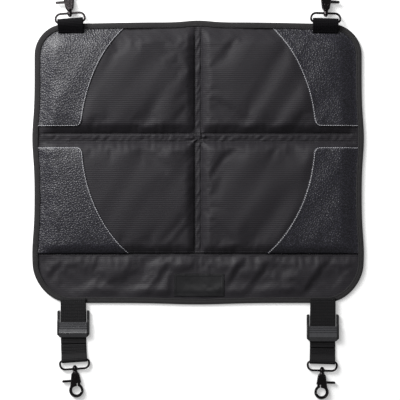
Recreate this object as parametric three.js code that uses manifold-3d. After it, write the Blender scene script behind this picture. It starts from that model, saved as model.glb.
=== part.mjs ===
// Car seat protector: a quilted seat mat with a bound edge, appliquéd leather corners, two adjustable
// straps with ladder locks along the bottom edge, and four swivel trigger snap hooks.
// Sizes are millimetres. The mat lies face up on the floor: X runs across it, Y up it and Z up from the
// floor. Mat layout values are measured from the middle of the mat.
import * as THREE from 'three';
import { mergeVertices } from 'three/addons/utils/BufferGeometryUtils.js';
import Module from 'manifold-3d';

// Clearances
const seatGap = 0.3; // between two pieces that rest on each other
const swivelGap = 0.3; // around a turning stud, pin or gate

// Mat outline
const matWidth = 492;
const matHeight = 416;
const topCornerRadius = 45;
const bottomCornerRadius = 57;
const sideSwell = 3.4; // how far a side edge swells where a seam runs out to it
const sidePinch = 1.2; // how far a side edge draws in between the seams
const sideSwellReach = 40;
const topArch = 4.5; // rise of the top edge towards its middle
const topPeak = 2.5; // further swell where the upright channel ends
const topPeakReach = 25;
const bottomSwell = 2.2;
const bottomSwellReach = 60;

// Quilting
const channelWidth = 9.7; // flat strip between two padded cells
const channelDrop = 169.5; // from the top edge down to the middle of the level channel
const flapHeight = 73.4; // from the bottom edge up to the seam under the padded cells
const seamWidth = 3;
const padRise = 8; // how far a padded cell stands over its channels
const crownRise = 1.4; // further doming towards the middle of a cell
const channelShoulder = 14; // width over which a cell rises beside a channel
const borderFlat = 15; // flat border in from the mat's edge
const borderShoulder = 20; // width over which a cell rises beside the flat border
const borderFall = 28; // width over which the layers settle from the border to the channels
const flapRise = 2.6;
const wrinkleRise = 0.8;
const wrinkleLength = 68;
const wrinkleSlope = 0.59; // direction of the wrinkles, in radians off the upright

// Layers
const tapeThickness = 0.9;
const tapeWidth = 8.5; // how far the edge binding reaches in over the mat
const backThickness = 0.8;
const frontThickness = 0.8;
const leatherThickness = 1.0;
const labelThickness = 0.6;
const backSettle = 6; // width over which the back comes down to the floor
const stripOverlap = 0.5; // by which a cloth's border strip and its relief sheet share material
const raisedStripGap = 0.6; // by which the strip of a layer on top stops sooner than the one below
const bindingFold = 1; // flat that rounds each fold of the binding
const lipStepDrop = 28; // below the lower seam, where the binding's lip steps down off the leather
const lipStepLength = 32;
const lipStepFromMiddle = 45;

// Foam pads
const padBorderInset = 26;
const padChannelInset = 5;
const padBorderBevel = 14;
const padChannelBevel = 9.5;
const padWall = 3.4;
const padCornerRadius = 12;
const padOuterRadius = 62;

// Leather corner patches
const patchCurveHalfWidthUpper = 174.5; // half axes of the oval that the patches leave open
const patchCurveHalfWidthLower = 172.5;
const patchCurveHalfHeightUpper = 217;
const patchCurveHalfHeightLower = 208.5;
const patchCurveDrop = 3.7; // centre of the oval below the level channel
const patchUpperGap = 17.3; // from the channel's middle up to the upper patches
const patchLowerGap = 12.7;
const patchCornerRadius = 9;

// Label
const labelWidth = 75;
const labelHeight = 34;
const labelOffset = 1.5; // sideways from the middle
const labelDrop = 46.5; // from the lower seam down to the middle of the label
const labelCornerRadius = 3;

// Webbing
const webbingWidth = 38;
const webbingThickness = 1.4;
const foldGap = 0.3; // between two plies of one strap that lie together

// Top straps
const topStrapSpacing = 190; // from the middle to each strap
const topStrapFoot = 13.5; // how far in from the edge the loop is sewn down
const topBarReach = 2.3; // how far the eye's bar lies beyond the edge
const topLoopRadius = 3.9;
const topLoopLead = 0.7; // how far the loop's end is centred beyond the bar
const topLoopSlopeStart = 4.5; // how far in from the edge the upper ply starts to fall
const topLoopSlopeEnd = 7.5; // and where the fall is at its steepest
const topLoopSlopeDrop = 4.6;
const lipRamp = 1.2; // length over which the lower ply climbs onto the binding
const topLeans = [0.078, -0.035]; // left and right hooks, in radians turned from straight up

// Bottom straps
const bottomStrapSpacing = 186.5;
const bottomStrapFoot = 7.5;
const lockReaches = [11, 17]; // from the mat's edge to each ladder lock, left and right
const bottomBarReaches = [85.5, 88]; // from the mat's edge to the bar of each eye
const bottomLeans = [0.07, -0.032]; // left and right hooks, in radians turned from straight down
const adjusterTail = 9.5; // loose end of the strap beyond the ladder lock
const sewnEndGap = 1.5; // from the loose end to the sewn end of the hook's loop
const stitchedReach = 1.5; // how far past the edge the two plies lie level
const strapTurn = 1.6; // easing of the strap where it leaves the lock's middle bar
const loopSeamReach = 12.5; // from the eye's bar back to where the loop's plies meet
const loopEasing = 6;

// Ladder locks
const lockWidth = 48;
const lockLength = 40;
const railWidth = 3.9;
const earHeight = 6;
const earRadius = 1.9;
const lipChamfer = 5;
const lockEdge = 1.6; // bevel on the rails' ends
const barRoot = 1; // how far a bar runs into each rail
const plateEdge = 0.6;
const sewnBarRadius = 1.75;
const plateStart = 17.4;
const plateThickness = 1.5;
const ridgeLift = 1.6; // how far the ridge stands over the plate
const ridgeSlope = 13; // length over which the plate rises to the ridge
const lipLength = 6.4;
const lipThickness = 3.2;
const gripGrooves = 3;
const gripPitch = 3.3;
const grooveWidth = 1.3;
const grooveDepth = 0.7;
const grooveLead = 2.2;
const middleBarWidth = 4.6;
const middleBarThickness = 2.6;

// Swivel eye of a snap hook
const eyeWidth = 47; // outside the wire
const eyeDepth = 13; // from the straight bar to the outer bar, between wire middles
const eyeWireRadius = 1.7;
const eyeOuterBend = 7.5;
const eyeInnerBend = 4;
const bossRadius = 3.8;
const bossLength = 6;

// Snap hook
const studRadius = 1.7;
const studHeadRadius = 3;
const studHeadTip = 1.3;
const studHeadLength = 2.2;
const collarRadius = 3.9;
const collarLength = 4.3;
const hookThickness = 8;
const hookRingThickness = 6;
const hookRingDistance = 45; // from the eye's straight bar to the middle of the ring
const hookRingRadius = 10.9;
const hookHoleRadius = 6.5;
const pivotDistance = 25.5;
const cheekHalfWidths = [3.6, 5.6, 6.5, 7.2];
const gateThickness = 3;
const gateDiscRadius = 4.2;
const gateInnerRadius = 6.9;
const gateOuterRadius = 10.5;
const gateReach = 23; // from the pivot to the nose of the gate
const gateMouth = 1; // sideways start of the hook's mouth
const leverReach = 20.2;
const leverThickness = 3.4;
const leverDrop = 5; // from the pivot down to the middle of the lever
const slotEnd = 33;
const slotLedge = 0.8; // between the end of the lever's slot and the start of the mouth
const slotSpine = 4.5; // the spine stays solid beyond this, past the lever's slot
const rivetRadius = 1.4;
const rivetHeadRadius = 2.4;
const rivetHeadHeight = 0.6;
const springWireRadius = 0.3;
const springCoilRadius = 2.4;
const springTurns = 1.75;
const springRecess = 1.5;
const springCoilGap = 0.1; // between two turns

// Levels that follow from the layers
const halfWidth = matWidth / 2;
const halfHeight = matHeight / 2;
const channelY = halfHeight - channelDrop;
const seamY = flapHeight - halfHeight;
const backBorderZ = tapeThickness + seatGap;
const frontBorderZ = backBorderZ + backThickness + seatGap;
const frontChannelZ = backThickness + seatGap;
const frontBorderTop = frontBorderZ + frontThickness;
const patchBorderTop = frontBorderTop + seatGap + leatherThickness;
const lipTopPlain = frontBorderTop + seatGap + tapeThickness;
const lipTopPatch = patchBorderTop + seatGap + tapeThickness;
const tapeInset = tapeThickness + seatGap; // where the layers end inside the binding
const patchCurveY = channelY - patchCurveDrop;

const wasm = await Module();
wasm.setup();

// Materials
function finish(color, roughness, metalness) {
  return new THREE.MeshStandardMaterial({ color, roughness, metalness });
}

const frontCloth = () => finish(0x39393c, 0.85, 0);
const flapCloth = () => finish(0x343436, 0.85, 0);
const backCloth = () => finish(0x2c2c2e, 0.9, 0);
const foam = () => finish(0x8f9094, 0.95, 0);
const leather = () => finish(0x4a4a4e, 0.5, 0);
const tape = () => finish(0x3d3c3e, 0.8, 0);
const satin = () => finish(0x1f1f22, 0.6, 0);
const webbing = () => finish(0x2b292b, 0.85, 0);
const plastic = () => finish(0x1a1a1c, 0.3, 0);
const castMetal = () => finish(0x8a888c, 0.25, 1);
const springSteel = () => finish(0xb4b4b8, 0.3, 1);

// Geometry helpers

// A closed geometry from corners and triangles, with its faces turned outwards.
function closedGeometry(corners, triangles) {
  let volume = 0;
  for (const [a, b, c] of triangles) {
    volume += corners[a].dot(corners[b].clone().cross(corners[c]));
  }
  const facing = volume < 0 ? triangles.map(([a, b, c]) => [a, c, b]) : triangles;
  const geometry = new THREE.BufferGeometry();
  const positions = corners.flatMap((corner) => corner.toArray());
  geometry.setAttribute('position', new THREE.Float32BufferAttribute(positions, 3));
  geometry.setIndex(facing.flat());
  return geometry;
}

// A solid for joining and cutting, from a closed geometry.
function toSolid(geometry) {
  const plain = geometry.clone();
  plain.deleteAttribute('normal');
  plain.deleteAttribute('uv');
  const merged = mergeVertices(plain, 1e-4);
  return new wasm.Manifold(new wasm.Mesh({
    numProp: 3,
    vertProperties: new Float32Array(merged.attributes.position.array),
    triVerts: new Uint32Array(merged.index.array),
  }));
}

function toGeometry(solid) {
  const mesh = solid.getMesh();
  const geometry = new THREE.BufferGeometry();
  geometry.setAttribute('position', new THREE.BufferAttribute(mesh.vertProperties, 3));
  geometry.setIndex(new THREE.BufferAttribute(mesh.triVerts, 1));
  return geometry;
}

// Skin over a row of rings of equal count. An open row is capped at both ends, a closed one comes
// back to its first ring.
function loft(rings, closed = false) {
  const count = rings[0].length;
  const corners = rings.flat();
  const triangles = [];
  const spans = closed ? rings.length : rings.length - 1;
  for (let i = 0; i < spans; i += 1) {
    const near = i * count;
    const far = ((i + 1) % rings.length) * count;
    for (let j = 0; j < count; j += 1) {
      const k = (j + 1) % count;
      triangles.push([near + j, near + k, far + k], [near + j, far + k, far + j]);
    }
  }
  if (!closed) {
    const flat = (ring) => ring.map((corner) => new THREE.Vector2(corner.x, corner.y));
    const last = corners.length - count;
    for (const [a, b, c] of THREE.ShapeUtils.triangulateShape(flat(rings[0]), [])) {
      triangles.push([a, c, b]);
    }
    for (const [a, b, c] of THREE.ShapeUtils.triangulateShape(flat(rings[rings.length - 1]), [])) {
      triangles.push([last + a, last + b, last + c]);
    }
  }
  return closedGeometry(corners, triangles);
}

// An upright prism of a plan outline.
function prism(outline, from, to) {
  const geometry = new THREE.ExtrudeGeometry(new THREE.Shape(outline), {
    depth: to - from, bevelEnabled: false, steps: 1,
  });
  return toSolid(geometry.translate(0, 0, from));
}

function box(low, high) {
  const size = [high[0] - low[0], high[1] - low[1], high[2] - low[2]];
  const geometry = new THREE.BoxGeometry(...size);
  geometry.translate((low[0] + high[0]) / 2, (low[1] + high[1]) / 2, (low[2] + high[2]) / 2);
  return toSolid(geometry);
}

// A profile of [radius, height] points turned about Y.
function turned(profile, sides) {
  return new THREE.LatheGeometry(profile.map(([r, h]) => new THREE.Vector2(r, h)), sides);
}

function piece(name, geometry, material) {
  const mesh = new THREE.Mesh(geometry, material);
  mesh.name = name;
  return mesh;
}

const smooth = THREE.MathUtils.smoothstep;
const bump = (distance, reach) => Math.exp(-((distance / reach) ** 2));

// Mat outline and relief

// How far the real edge lies outside the plain rounded rectangle.
function edgeSwell(x, y, nx, ny) {
  const side = sideSwell * (bump(y - channelY, sideSwellReach) + bump(y - seamY, sideSwellReach)) - sidePinch;
  const top = topArch * (1 - (x / halfWidth) ** 2) + topPeak * bump(x, topPeakReach);
  const bottom = bottomSwell * bump(x, bottomSwellReach);
  return nx * nx * side + ny * ny * (ny > 0 ? top : bottom);
}

// Points along the plain rounded rectangle, anticlockwise, with their outward normals.
function edgeStations() {
  const stations = [];
  const corner = (sx, sy, radius, start) => {
    const bends = 5;
    for (let i = 0; i <= bends; i += 1) {
      const angle = start + (i / bends) * (Math.PI / 2);
      const nx = Math.cos(angle);
      const ny = Math.sin(angle);
      const x = sx * (halfWidth - radius) + radius * nx;
      const y = sy * (halfHeight - radius) + radius * ny;
      stations.push({ x, y, nx, ny });
    }
  };
  const straight = (from, to, nx, ny, count) => {
    for (let i = 1; i < count; i += 1) {
      const t = i / count;
      const x = THREE.MathUtils.lerp(from[0], to[0], t);
      const y = THREE.MathUtils.lerp(from[1], to[1], t);
      stations.push({ x, y, nx, ny });
    }
  };
  const top = topCornerRadius;
  const bottom = bottomCornerRadius;
  corner(1, -1, bottom, -Math.PI / 2);
  straight([halfWidth, bottom - halfHeight], [halfWidth, halfHeight - top], 1, 0, 10);
  corner(1, 1, top, 0);
  straight([halfWidth - top, halfHeight], [top - halfWidth, halfHeight], 0, 1, 13);
  corner(-1, 1, top, Math.PI / 2);
  straight([-halfWidth, halfHeight - top], [-halfWidth, bottom - halfHeight], -1, 0, 10);
  corner(-1, -1, bottom, Math.PI);
  straight([bottom - halfWidth, -halfHeight], [halfWidth - bottom, -halfHeight], 0, -1, 10);
  return stations;
}

const stations = edgeStations();

function edgePoint({ x, y, nx, ny }, inset, z) {
  const out = edgeSwell(x, y, nx, ny) - inset;
  return new THREE.Vector3(x + nx * out, y + ny * out, z);
}

const edgeRing = (inset, z) => stations.map((station) => edgePoint(station, inset, z));
const edgeOutline = (inset) => edgeRing(inset, 0).map((point) => new THREE.Vector2(point.x, point.y));

// Height of the mat's edge line at x, on the top side or on the bottom side.
function edgeLine(x, side) {
  const radius = side > 0 ? topCornerRadius : bottomCornerRadius;
  const past = Math.max(0, Math.abs(x) - (halfWidth - radius));
  const drop = radius - Math.sqrt(radius * radius - past * past);
  return side * (halfHeight - drop + edgeSwell(x, 0, 0, side));
}

// How much further in the edge line lies at the outer side of a strap than at its middle.
function edgeFall(x, side) {
  return Math.abs(edgeLine(x, side) - edgeLine(x + webbingWidth / 2, side));
}

// Distance from a point in to the mat's edge.
function edgeDistance(x, y) {
  const radius = y > 0 ? topCornerRadius : bottomCornerRadius;
  const px = Math.abs(x) - (halfWidth - radius);
  const py = Math.abs(y) - (halfHeight - radius);
  const out = new THREE.Vector2(Math.max(px, 0), Math.max(py, 0));
  const distance = radius - out.length() - Math.min(Math.max(px, py), 0);
  const inCorner = px > 0 && py > 0;
  const nx = inCorner ? out.x / out.length() : Number(px >= py);
  const ny = inCorner ? out.y / out.length() : Number(px < py);
  return distance + edgeSwell(x, y, nx, Math.sign(y) * ny);
}

// Quarter-round shoulder, from 0 at its foot to 1 at its crest.
function shoulder(distance, width) {
  const t = THREE.MathUtils.clamp(distance / width, 0, 1);
  return Math.sqrt(1 - (1 - t) ** 2);
}

// Underside of the front cloth where nothing pads it.
function restingLevel(x, y) {
  const inner = edgeDistance(x, y) - borderFlat;
  return THREE.MathUtils.lerp(frontBorderZ, frontChannelZ, smooth(inner, 0, borderFall));
}

// Underside of the padded front panel.
function panelUnder(x, y) {
  const fromBorder = smooth(edgeDistance(x, y) - borderFlat, 0, borderShoulder);
  const fromUpright = shoulder(Math.abs(x) - channelWidth / 2, channelShoulder);
  const fromLevel = shoulder(Math.abs(y - channelY) - channelWidth / 2, channelShoulder);
  const fromSeam = shoulder(y - seamY - seamWidth / 2, channelShoulder);
  const swell = fromBorder * fromUpright * fromLevel * fromSeam;
  const across = Math.sin(Math.PI * THREE.MathUtils.clamp(Math.abs(x) / halfWidth, 0, 1));
  const cell = y > channelY ? (y - channelY) / (halfHeight - channelY) : (y - seamY) / (channelY - seamY);
  const along = Math.sin(Math.PI * THREE.MathUtils.clamp(cell, 0, 1));
  return restingLevel(x, y) + swell * (padRise + crownRise * across * along);
}

// Underside of the lower flap: a soft puff with slanting wrinkles.
function flapUnder(x, y) {
  const fromBorder = smooth(edgeDistance(x, y) - borderFlat, 0, borderShoulder);
  const fromSeam = smooth(seamY - seamWidth / 2 - y, 0, channelShoulder);
  const phase = (x * Math.cos(wrinkleSlope) - y * Math.sin(wrinkleSlope)) * (2 * Math.PI / wrinkleLength);
  const wrinkle = wrinkleRise * (1 + Math.sin(phase));
  return restingLevel(x, y) + fromBorder * fromSeam * (flapRise + wrinkle);
}

// Sheet of even thickness over a grid, its underside given by a height function.
function reliefSheet(xLines, yLines, under, thickness) {
  const columns = xLines.length;
  const rows = yLines.length;
  const corners = [];
  for (const lift of [0, thickness]) {
    for (const y of yLines) {
      for (const x of xLines) {
        corners.push(new THREE.Vector3(x, y, under(x, y) + lift));
      }
    }
  }
  const half = columns * rows;
  const triangles = [];
  for (let j = 0; j < rows - 1; j += 1) {
    for (let i = 0; i < columns - 1; i += 1) {
      const a = j * columns + i;
      const b = a + 1;
      const c = b + columns;
      const d = a + columns;
      triangles.push([a, c, b], [a, d, c]);
      triangles.push([half + a, half + b, half + c], [half + a, half + c, half + d]);
    }
  }
  const rim = [];
  for (let i = 0; i < columns - 1; i += 1) rim.push(i);
  for (let j = 0; j < rows - 1; j += 1) rim.push(j * columns + columns - 1);
  for (let i = columns - 1; i > 0; i -= 1) rim.push((rows - 1) * columns + i);
  for (let j = rows - 1; j > 0; j -= 1) rim.push(j * columns);
  rim.forEach((a, n) => {
    const b = rim[(n + 1) % rim.length];
    triangles.push([a, b, half + b], [a, half + b, half + a]);
  });
  return toSolid(closedGeometry(corners, triangles));
}

// Cloth that follows the mat: a flat strip under the binding joined to a relief sheet inside it,
// both cut to a plan outline. A raised layer stops its strip a little sooner, clear of the sheet below.
function clothLayer({ xLines, yLines, under, lift, thickness, cutter }) {
  const raised = lift > 0;
  const stripEnd = raised ? borderFlat - raisedStripGap : borderFlat;
  const sheetStart = stripEnd - stripOverlap;
  const low = frontBorderZ + lift;
  const high = low + thickness;
  const strip = toSolid(loft([
    edgeRing(stripEnd, low), edgeRing(tapeInset, low), edgeRing(tapeInset, high), edgeRing(stripEnd, high),
  ], true));
  const lifted = (x, y) => under(x, y) + lift;
  const inside = prism(edgeOutline(sheetStart), -1, padRise * 4);
  const sheet = reliefSheet(xLines, yLines, lifted, thickness).intersect(inside);
  return toGeometry(strip.add(sheet).intersect(cutter));
}

// Grid lines from a list of insets at each end of a span and even steps between them.
function gridLines(from, to, fromInsets, toInsets, middleSteps) {
  const start = fromInsets.map((inset) => from + inset);
  const end = toInsets.map((inset) => to - inset).reverse();
  const first = start[start.length - 1];
  const last = end[0];
  const middle = [];
  for (let i = 1; i < middleSteps; i += 1) {
    middle.push(THREE.MathUtils.lerp(first, last, i / middleSteps));
  }
  return [...start, ...middle, ...end];
}

const borderInsets = [-6, borderFlat, borderFlat + 0.45 * borderShoulder, borderFlat + borderShoulder];
const channelInsets = [0, 0.18, 0.5, 1].map((share) => share * channelShoulder);
const channelEdge = channelWidth / 2;
const rightHalf = gridLines(channelEdge, halfWidth, channelInsets, borderInsets, 3);
const panelX = [...rightHalf.map((x) => -x).reverse(), ...rightHalf];
const panelY = [
  ...gridLines(seamY, channelY - channelEdge, [seatGap / 2, ...channelInsets.slice(1)], channelInsets, 2),
  ...gridLines(channelY + channelEdge, halfHeight + topArch, channelInsets, borderInsets, 2),
];
const flapX = gridLines(-halfWidth, halfWidth, borderInsets, borderInsets, 14);
const seamInsets = [seatGap / 2, 0.36 * channelShoulder, channelShoulder];
const flapY = gridLines(-halfHeight, seamY, borderInsets.slice(0, 3), seamInsets, 3);

// Half plane of the mat above or below a line, as a cutter.
function band(fromY, toY) {
  const reach = matWidth;
  return box([-reach, fromY, -1], [reach, toY, padRise * 4]);
}

function frontPanel() {
  const cutter = band(seamY + seatGap / 2, matHeight);
  return piece('front_panel', clothLayer({
    xLines: panelX, yLines: panelY, under: panelUnder, lift: 0, thickness: frontThickness, cutter,
  }), frontCloth());
}

function lowerFlap() {
  const cutter = band(-matHeight, seamY - seatGap / 2);
  return piece('lower_flap', clothLayer({
    xLines: flapX, yLines: flapY, under: flapUnder, lift: 0, thickness: frontThickness, cutter,
  }), flapCloth());
}

function backCover() {
  const level = borderFlat + backSettle;
  return piece('back_cover', loft([
    edgeRing(level, 0),
    edgeRing(borderFlat, backBorderZ),
    edgeRing(tapeInset, backBorderZ),
    edgeRing(tapeInset, backBorderZ + backThickness),
    edgeRing(borderFlat, backBorderZ + backThickness),
    edgeRing(level, backThickness),
  ]), backCloth());
}

// Share of the leather's thickness that the binding steps up over, along the mat's edge.
function lipRise(x, y) {
  const belowSeam = 1 - smooth(seamY - y, lipStepDrop, lipStepDrop + lipStepLength);
  const besideMiddle = smooth(Math.abs(x), lipStepFromMiddle, lipStepFromMiddle + lipStepLength);
  return belowSeam * besideMiddle;
}

// Edge binding: a folded tape of U section that closes on itself around the mat.
function edgeBinding() {
  const turn = bindingFold;
  const section = (station) => {
    const top = THREE.MathUtils.lerp(lipTopPlain, lipTopPatch, lipRise(station.x, station.y));
    return [
      [tapeWidth, 0], [turn, 0], [0, turn], [0, top - turn], [turn, top], [tapeWidth, top],
      [tapeWidth, top - tapeThickness], [tapeThickness, top - tapeThickness],
      [tapeThickness, tapeThickness], [tapeWidth, tapeThickness],
    ].map(([inset, z]) => edgePoint(station, inset, z));
  };
  return piece('edge_binding', loft(stations.map(section), true), tape());
}

// Points of a rectangle with its own radius at each corner: bottom left, bottom right, top right, top left.
function roundedRectangle(x0, y0, x1, y1, radii) {
  const bends = 4;
  const [bottomLeft, bottomRight, topRight, topLeft] = radii;
  const corners = [
    [x0 + bottomLeft, y0 + bottomLeft, bottomLeft, Math.PI],
    [x1 - bottomRight, y0 + bottomRight, bottomRight, 1.5 * Math.PI],
    [x1 - topRight, y1 - topRight, topRight, 0],
    [x0 + topLeft, y1 - topLeft, topLeft, 0.5 * Math.PI],
  ];
  return corners.flatMap(([cx, cy, radius, start]) => Array.from({ length: bends + 1 }, (_, i) => {
    const angle = start + (i / bends) * (Math.PI / 2);
    return new THREE.Vector2(cx + radius * Math.cos(angle), cy + radius * Math.sin(angle));
  }));
}

// Foam pad of one cell, with sloping shoulders.
function foamPad(side, upper) {
  const low = backThickness + seatGap;
  const top = frontChannelZ + padRise - seatGap;
  const ring = (borderInset, channelInset, z) => {
    const x0 = channelWidth / 2 + channelInset;
    const x1 = halfWidth - borderInset;
    const y0 = upper ? channelY + channelWidth / 2 + channelInset : seamY + seamWidth / 2 + channelInset;
    const y1 = upper ? halfHeight - borderInset : channelY - channelWidth / 2 - channelInset;
    const outer = upper ? padOuterRadius : padCornerRadius;
    const radii = [padCornerRadius, padCornerRadius, outer, padCornerRadius];
    const outline = roundedRectangle(x0, y0, x1, y1, radii);
    const mirrored = outline.map((point) => new THREE.Vector2(-point.x, point.y)).reverse();
    const placed = side > 0 ? outline : mirrored;
    return placed.map((point) => new THREE.Vector3(point.x, point.y, z));
  };
  return loft([
    ring(padBorderInset, padChannelInset, low),
    ring(padBorderInset, padChannelInset, low + padWall),
    ring(padBorderInset + padBorderBevel, padChannelInset + padChannelBevel, top),
  ]);
}

// Plan outline of a leather corner patch: the mat's corner outside a wide oval, its inner corner rounded.
function patchOutline(side, upper) {
  const reach = matWidth;
  const edgeY = upper ? channelY + patchUpperGap : channelY - patchLowerGap;
  const farY = upper ? matHeight : seamY + seatGap / 2;
  const halfX = upper ? patchCurveHalfWidthUpper : patchCurveHalfWidthLower;
  const halfY = upper ? patchCurveHalfHeightUpper : patchCurveHalfHeightLower;
  const curveX = (y) => halfX * Math.sqrt(Math.max(0, 1 - ((y - patchCurveY) / halfY) ** 2));
  const toward = upper ? 1 : -1;
  const cornerX = curveX(edgeY);
  const curveStart = edgeY + toward * patchCornerRadius;
  const curveEnd = upper ? Math.min(farY, patchCurveY + halfY) : farY;
  const shape = new THREE.Shape();
  shape.moveTo(side * reach, edgeY);
  shape.lineTo(side * (cornerX + patchCornerRadius), edgeY);
  shape.quadraticCurveTo(side * cornerX, edgeY, side * curveX(curveStart), curveStart);
  const steps = 14;
  for (let i = 1; i <= steps; i += 1) {
    const y = THREE.MathUtils.lerp(curveStart, curveEnd, i / steps);
    shape.lineTo(side * curveX(y), y);
  }
  shape.lineTo(side * curveX(curveEnd), farY);
  shape.lineTo(side * reach, farY);
  return shape.getPoints(4);
}

function cornerPatch(side, upper) {
  const cutter = prism(patchOutline(side, upper), -1, padRise * 4);
  const lift = frontThickness + seatGap;
  return clothLayer({
    xLines: panelX, yLines: panelY, under: panelUnder, lift, thickness: leatherThickness, cutter,
  });
}

function labelPatch() {
  const x = labelOffset;
  const y = seamY - labelDrop;
  const radii = Array(4).fill(labelCornerRadius);
  const outline = roundedRectangle(
    x - labelWidth / 2, y - labelHeight / 2, x + labelWidth / 2, y + labelHeight / 2, radii,
  );
  const cutter = prism(outline, -1, padRise * 4);
  const lift = frontThickness + seatGap;
  return piece('label_patch', clothLayer({
    xLines: flapX, yLines: flapY, under: flapUnder, lift, thickness: labelThickness, cutter,
  }), satin());
}

// Straps

// Webbing along a path of [reach, height] points, the reach running out from the mat's edge along Y.
function ribbon(points, closed) {
  const count = points.length;
  const rings = points.map((point, i) => {
    const before = points[closed ? (i + count - 1) % count : Math.max(i - 1, 0)];
    const after = points[closed ? (i + 1) % count : Math.min(i + 1, count - 1)];
    const along = after.clone().sub(before).normalize();
    const side = new THREE.Vector2(-along.y, along.x).multiplyScalar(webbingThickness / 2);
    const half = webbingWidth / 2;
    return [[-half, 1], [half, 1], [half, -1], [-half, -1]].map(([x, face]) => (
      new THREE.Vector3(x, point.x + face * side.x, point.y + face * side.y)
    ));
  });
  const corners = rings.flat();
  const triangles = [];
  const spans = closed ? count : count - 1;
  for (let i = 0; i < spans; i += 1) {
    const near = i * 4;
    const far = ((i + 1) % count) * 4;
    for (let j = 0; j < 4; j += 1) {
      const k = (j + 1) % 4;
      triangles.push([near + j, near + k, far + k], [near + j, far + k, far + j]);
    }
  }
  if (!closed) {
    const last = corners.length - 4;
    triangles.push([0, 2, 1], [0, 3, 2], [last, last + 1, last + 2], [last, last + 2, last + 3]);
  }
  return closedGeometry(corners, triangles);
}

// Where a point on a strap's middle line comes to when the strap bends sideways between two reaches.
function bentFrame(reach, from, to, lean) {
  const angle = lean * THREE.MathUtils.clamp((reach - from) / (to - from), 0, 1);
  const inBend = THREE.MathUtils.clamp(reach, from, to) - from;
  const past = Math.max(0, reach - to);
  const x = -(inBend * angle) / 2 - past * Math.sin(lean);
  const y = Math.min(reach, from) + inBend + past * Math.cos(lean);
  return { x, y, angle };
}

function bendSideways(geometry, from, to, lean) {
  const position = geometry.attributes.position;
  for (let i = 0; i < position.count; i += 1) {
    const frame = bentFrame(position.getY(i), from, to, lean);
    const x = position.getX(i);
    position.setXY(i, frame.x + x * Math.cos(frame.angle), frame.y + x * Math.sin(frame.angle));
  }
  return geometry;
}

const halfPly = webbingThickness / 2;
const plyPitch = webbingThickness + foldGap;
const foldRadius = plyPitch / 2;
const wrapRadius = (radius) => radius + seatGap + halfPly; // middle of the webbing around a bar

// The points of a path that lie at least a given distance apart.
function spaced(points, least) {
  const kept = [points[0]];
  for (const point of points) {
    if (point.distanceTo(kept[kept.length - 1]) > least) kept.push(point);
  }
  return kept;
}

// A closed path without its last point, where that falls on the first.
function openLoop(points) {
  const last = points[points.length - 1];
  return last.distanceTo(points[0]) < pathStep ? points.slice(0, -1) : points;
}

const pathStep = 0.6; // least distance between two points along a strap
const topLowerPly = lipTopPatch + seatGap + halfPly;
const topBarHeight = topLowerPly + wrapRadius(eyeWireRadius);

// Short loop on the top edge: sewn down inside the binding, arched over the eye's bar.
function topStrapPath() {
  const footLow = patchBorderTop + seatGap + halfPly;
  const end = topBarReach + topLoopLead;
  const crest = topLowerPly + 2 * topLoopRadius;
  const foot = foldRadius - topStrapFoot;
  const lipStartY = -tapeWidth - edgeFall(topStrapSpacing, 1) - seatGap - halfPly;
  const path = new THREE.Path();
  path.moveTo(foot, footLow);
  path.quadraticCurveTo(lipStartY - lipRamp, footLow, lipStartY, topLowerPly);
  path.lineTo(0, topLowerPly);
  path.absarc(end, topLowerPly + topLoopRadius, topLoopRadius, -Math.PI / 2, Math.PI / 2, false);
  path.bezierCurveTo(
    -topLoopSlopeStart, crest, -topLoopSlopeEnd, crest - topLoopSlopeDrop, foot, footLow + plyPitch,
  );
  path.absarc(foot, footLow + foldRadius, foldRadius, Math.PI / 2, 1.5 * Math.PI, false);
  return openLoop(spaced(path.getPoints(7), pathStep));
}

const topBend = { from: -tapeWidth, to: topBarReach - eyeWireRadius };

function topStrap(lean) {
  return bendSideways(ribbon(topStrapPath(), true), topBend.from, topBend.to, lean);
}

// Heights and reaches inside a ladder lock, the reach counted from its mat end.
const sewnBarZ = wrapRadius(sewnBarRadius) + halfPly + seatGap;
const sewnBarY = plateStart + sewnBarRadius + seatGap;
const strandY = sewnBarY + wrapRadius(sewnBarRadius) + halfPly + foldGap + halfPly;
const middleBarY = strandY + halfPly + seatGap;
const strandZ = seatGap + halfPly;
const middleBarZ = strandZ + halfPly + seatGap;
const middleBarTop = middleBarZ + middleBarThickness;
const tailZ = strandZ + plyPitch;
const lipStart = lockLength - lipLength;
const lipBottom = tailZ + halfPly + seatGap;
const plateBottom = sewnBarZ + wrapRadius(sewnBarRadius) + halfPly + seatGap;
const ridgeTop = plateBottom + plateThickness + ridgeLift;

// Sewn strap between the mat and the fixed bar of the ladder lock: one closed loop.
function sewnStrapPath(lockReach) {
  const lower = lipTopPlain + seatGap + halfPly;
  const upper = lower + plyPitch;
  const foot = foldRadius - bottomStrapFoot;
  const bar = lockReach + sewnBarY;
  const wrap = wrapRadius(sewnBarRadius);
  const path = new THREE.Path();
  path.moveTo(foot, lower);
  path.lineTo(stitchedReach, lower);
  path.bezierCurveTo(bar * 0.35, lower, bar * 0.35, sewnBarZ - wrap, bar * 0.75, sewnBarZ - wrap);
  path.absarc(bar, sewnBarZ, wrap, -Math.PI / 2, Math.PI / 2, false);
  path.lineTo(stitchedReach, upper);
  path.lineTo(foot, upper);
  path.absarc(foot, lower + foldRadius, foldRadius, Math.PI / 2, 1.5 * Math.PI, false);
  return openLoop(spaced(path.getPoints(7), pathStep));
}

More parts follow.
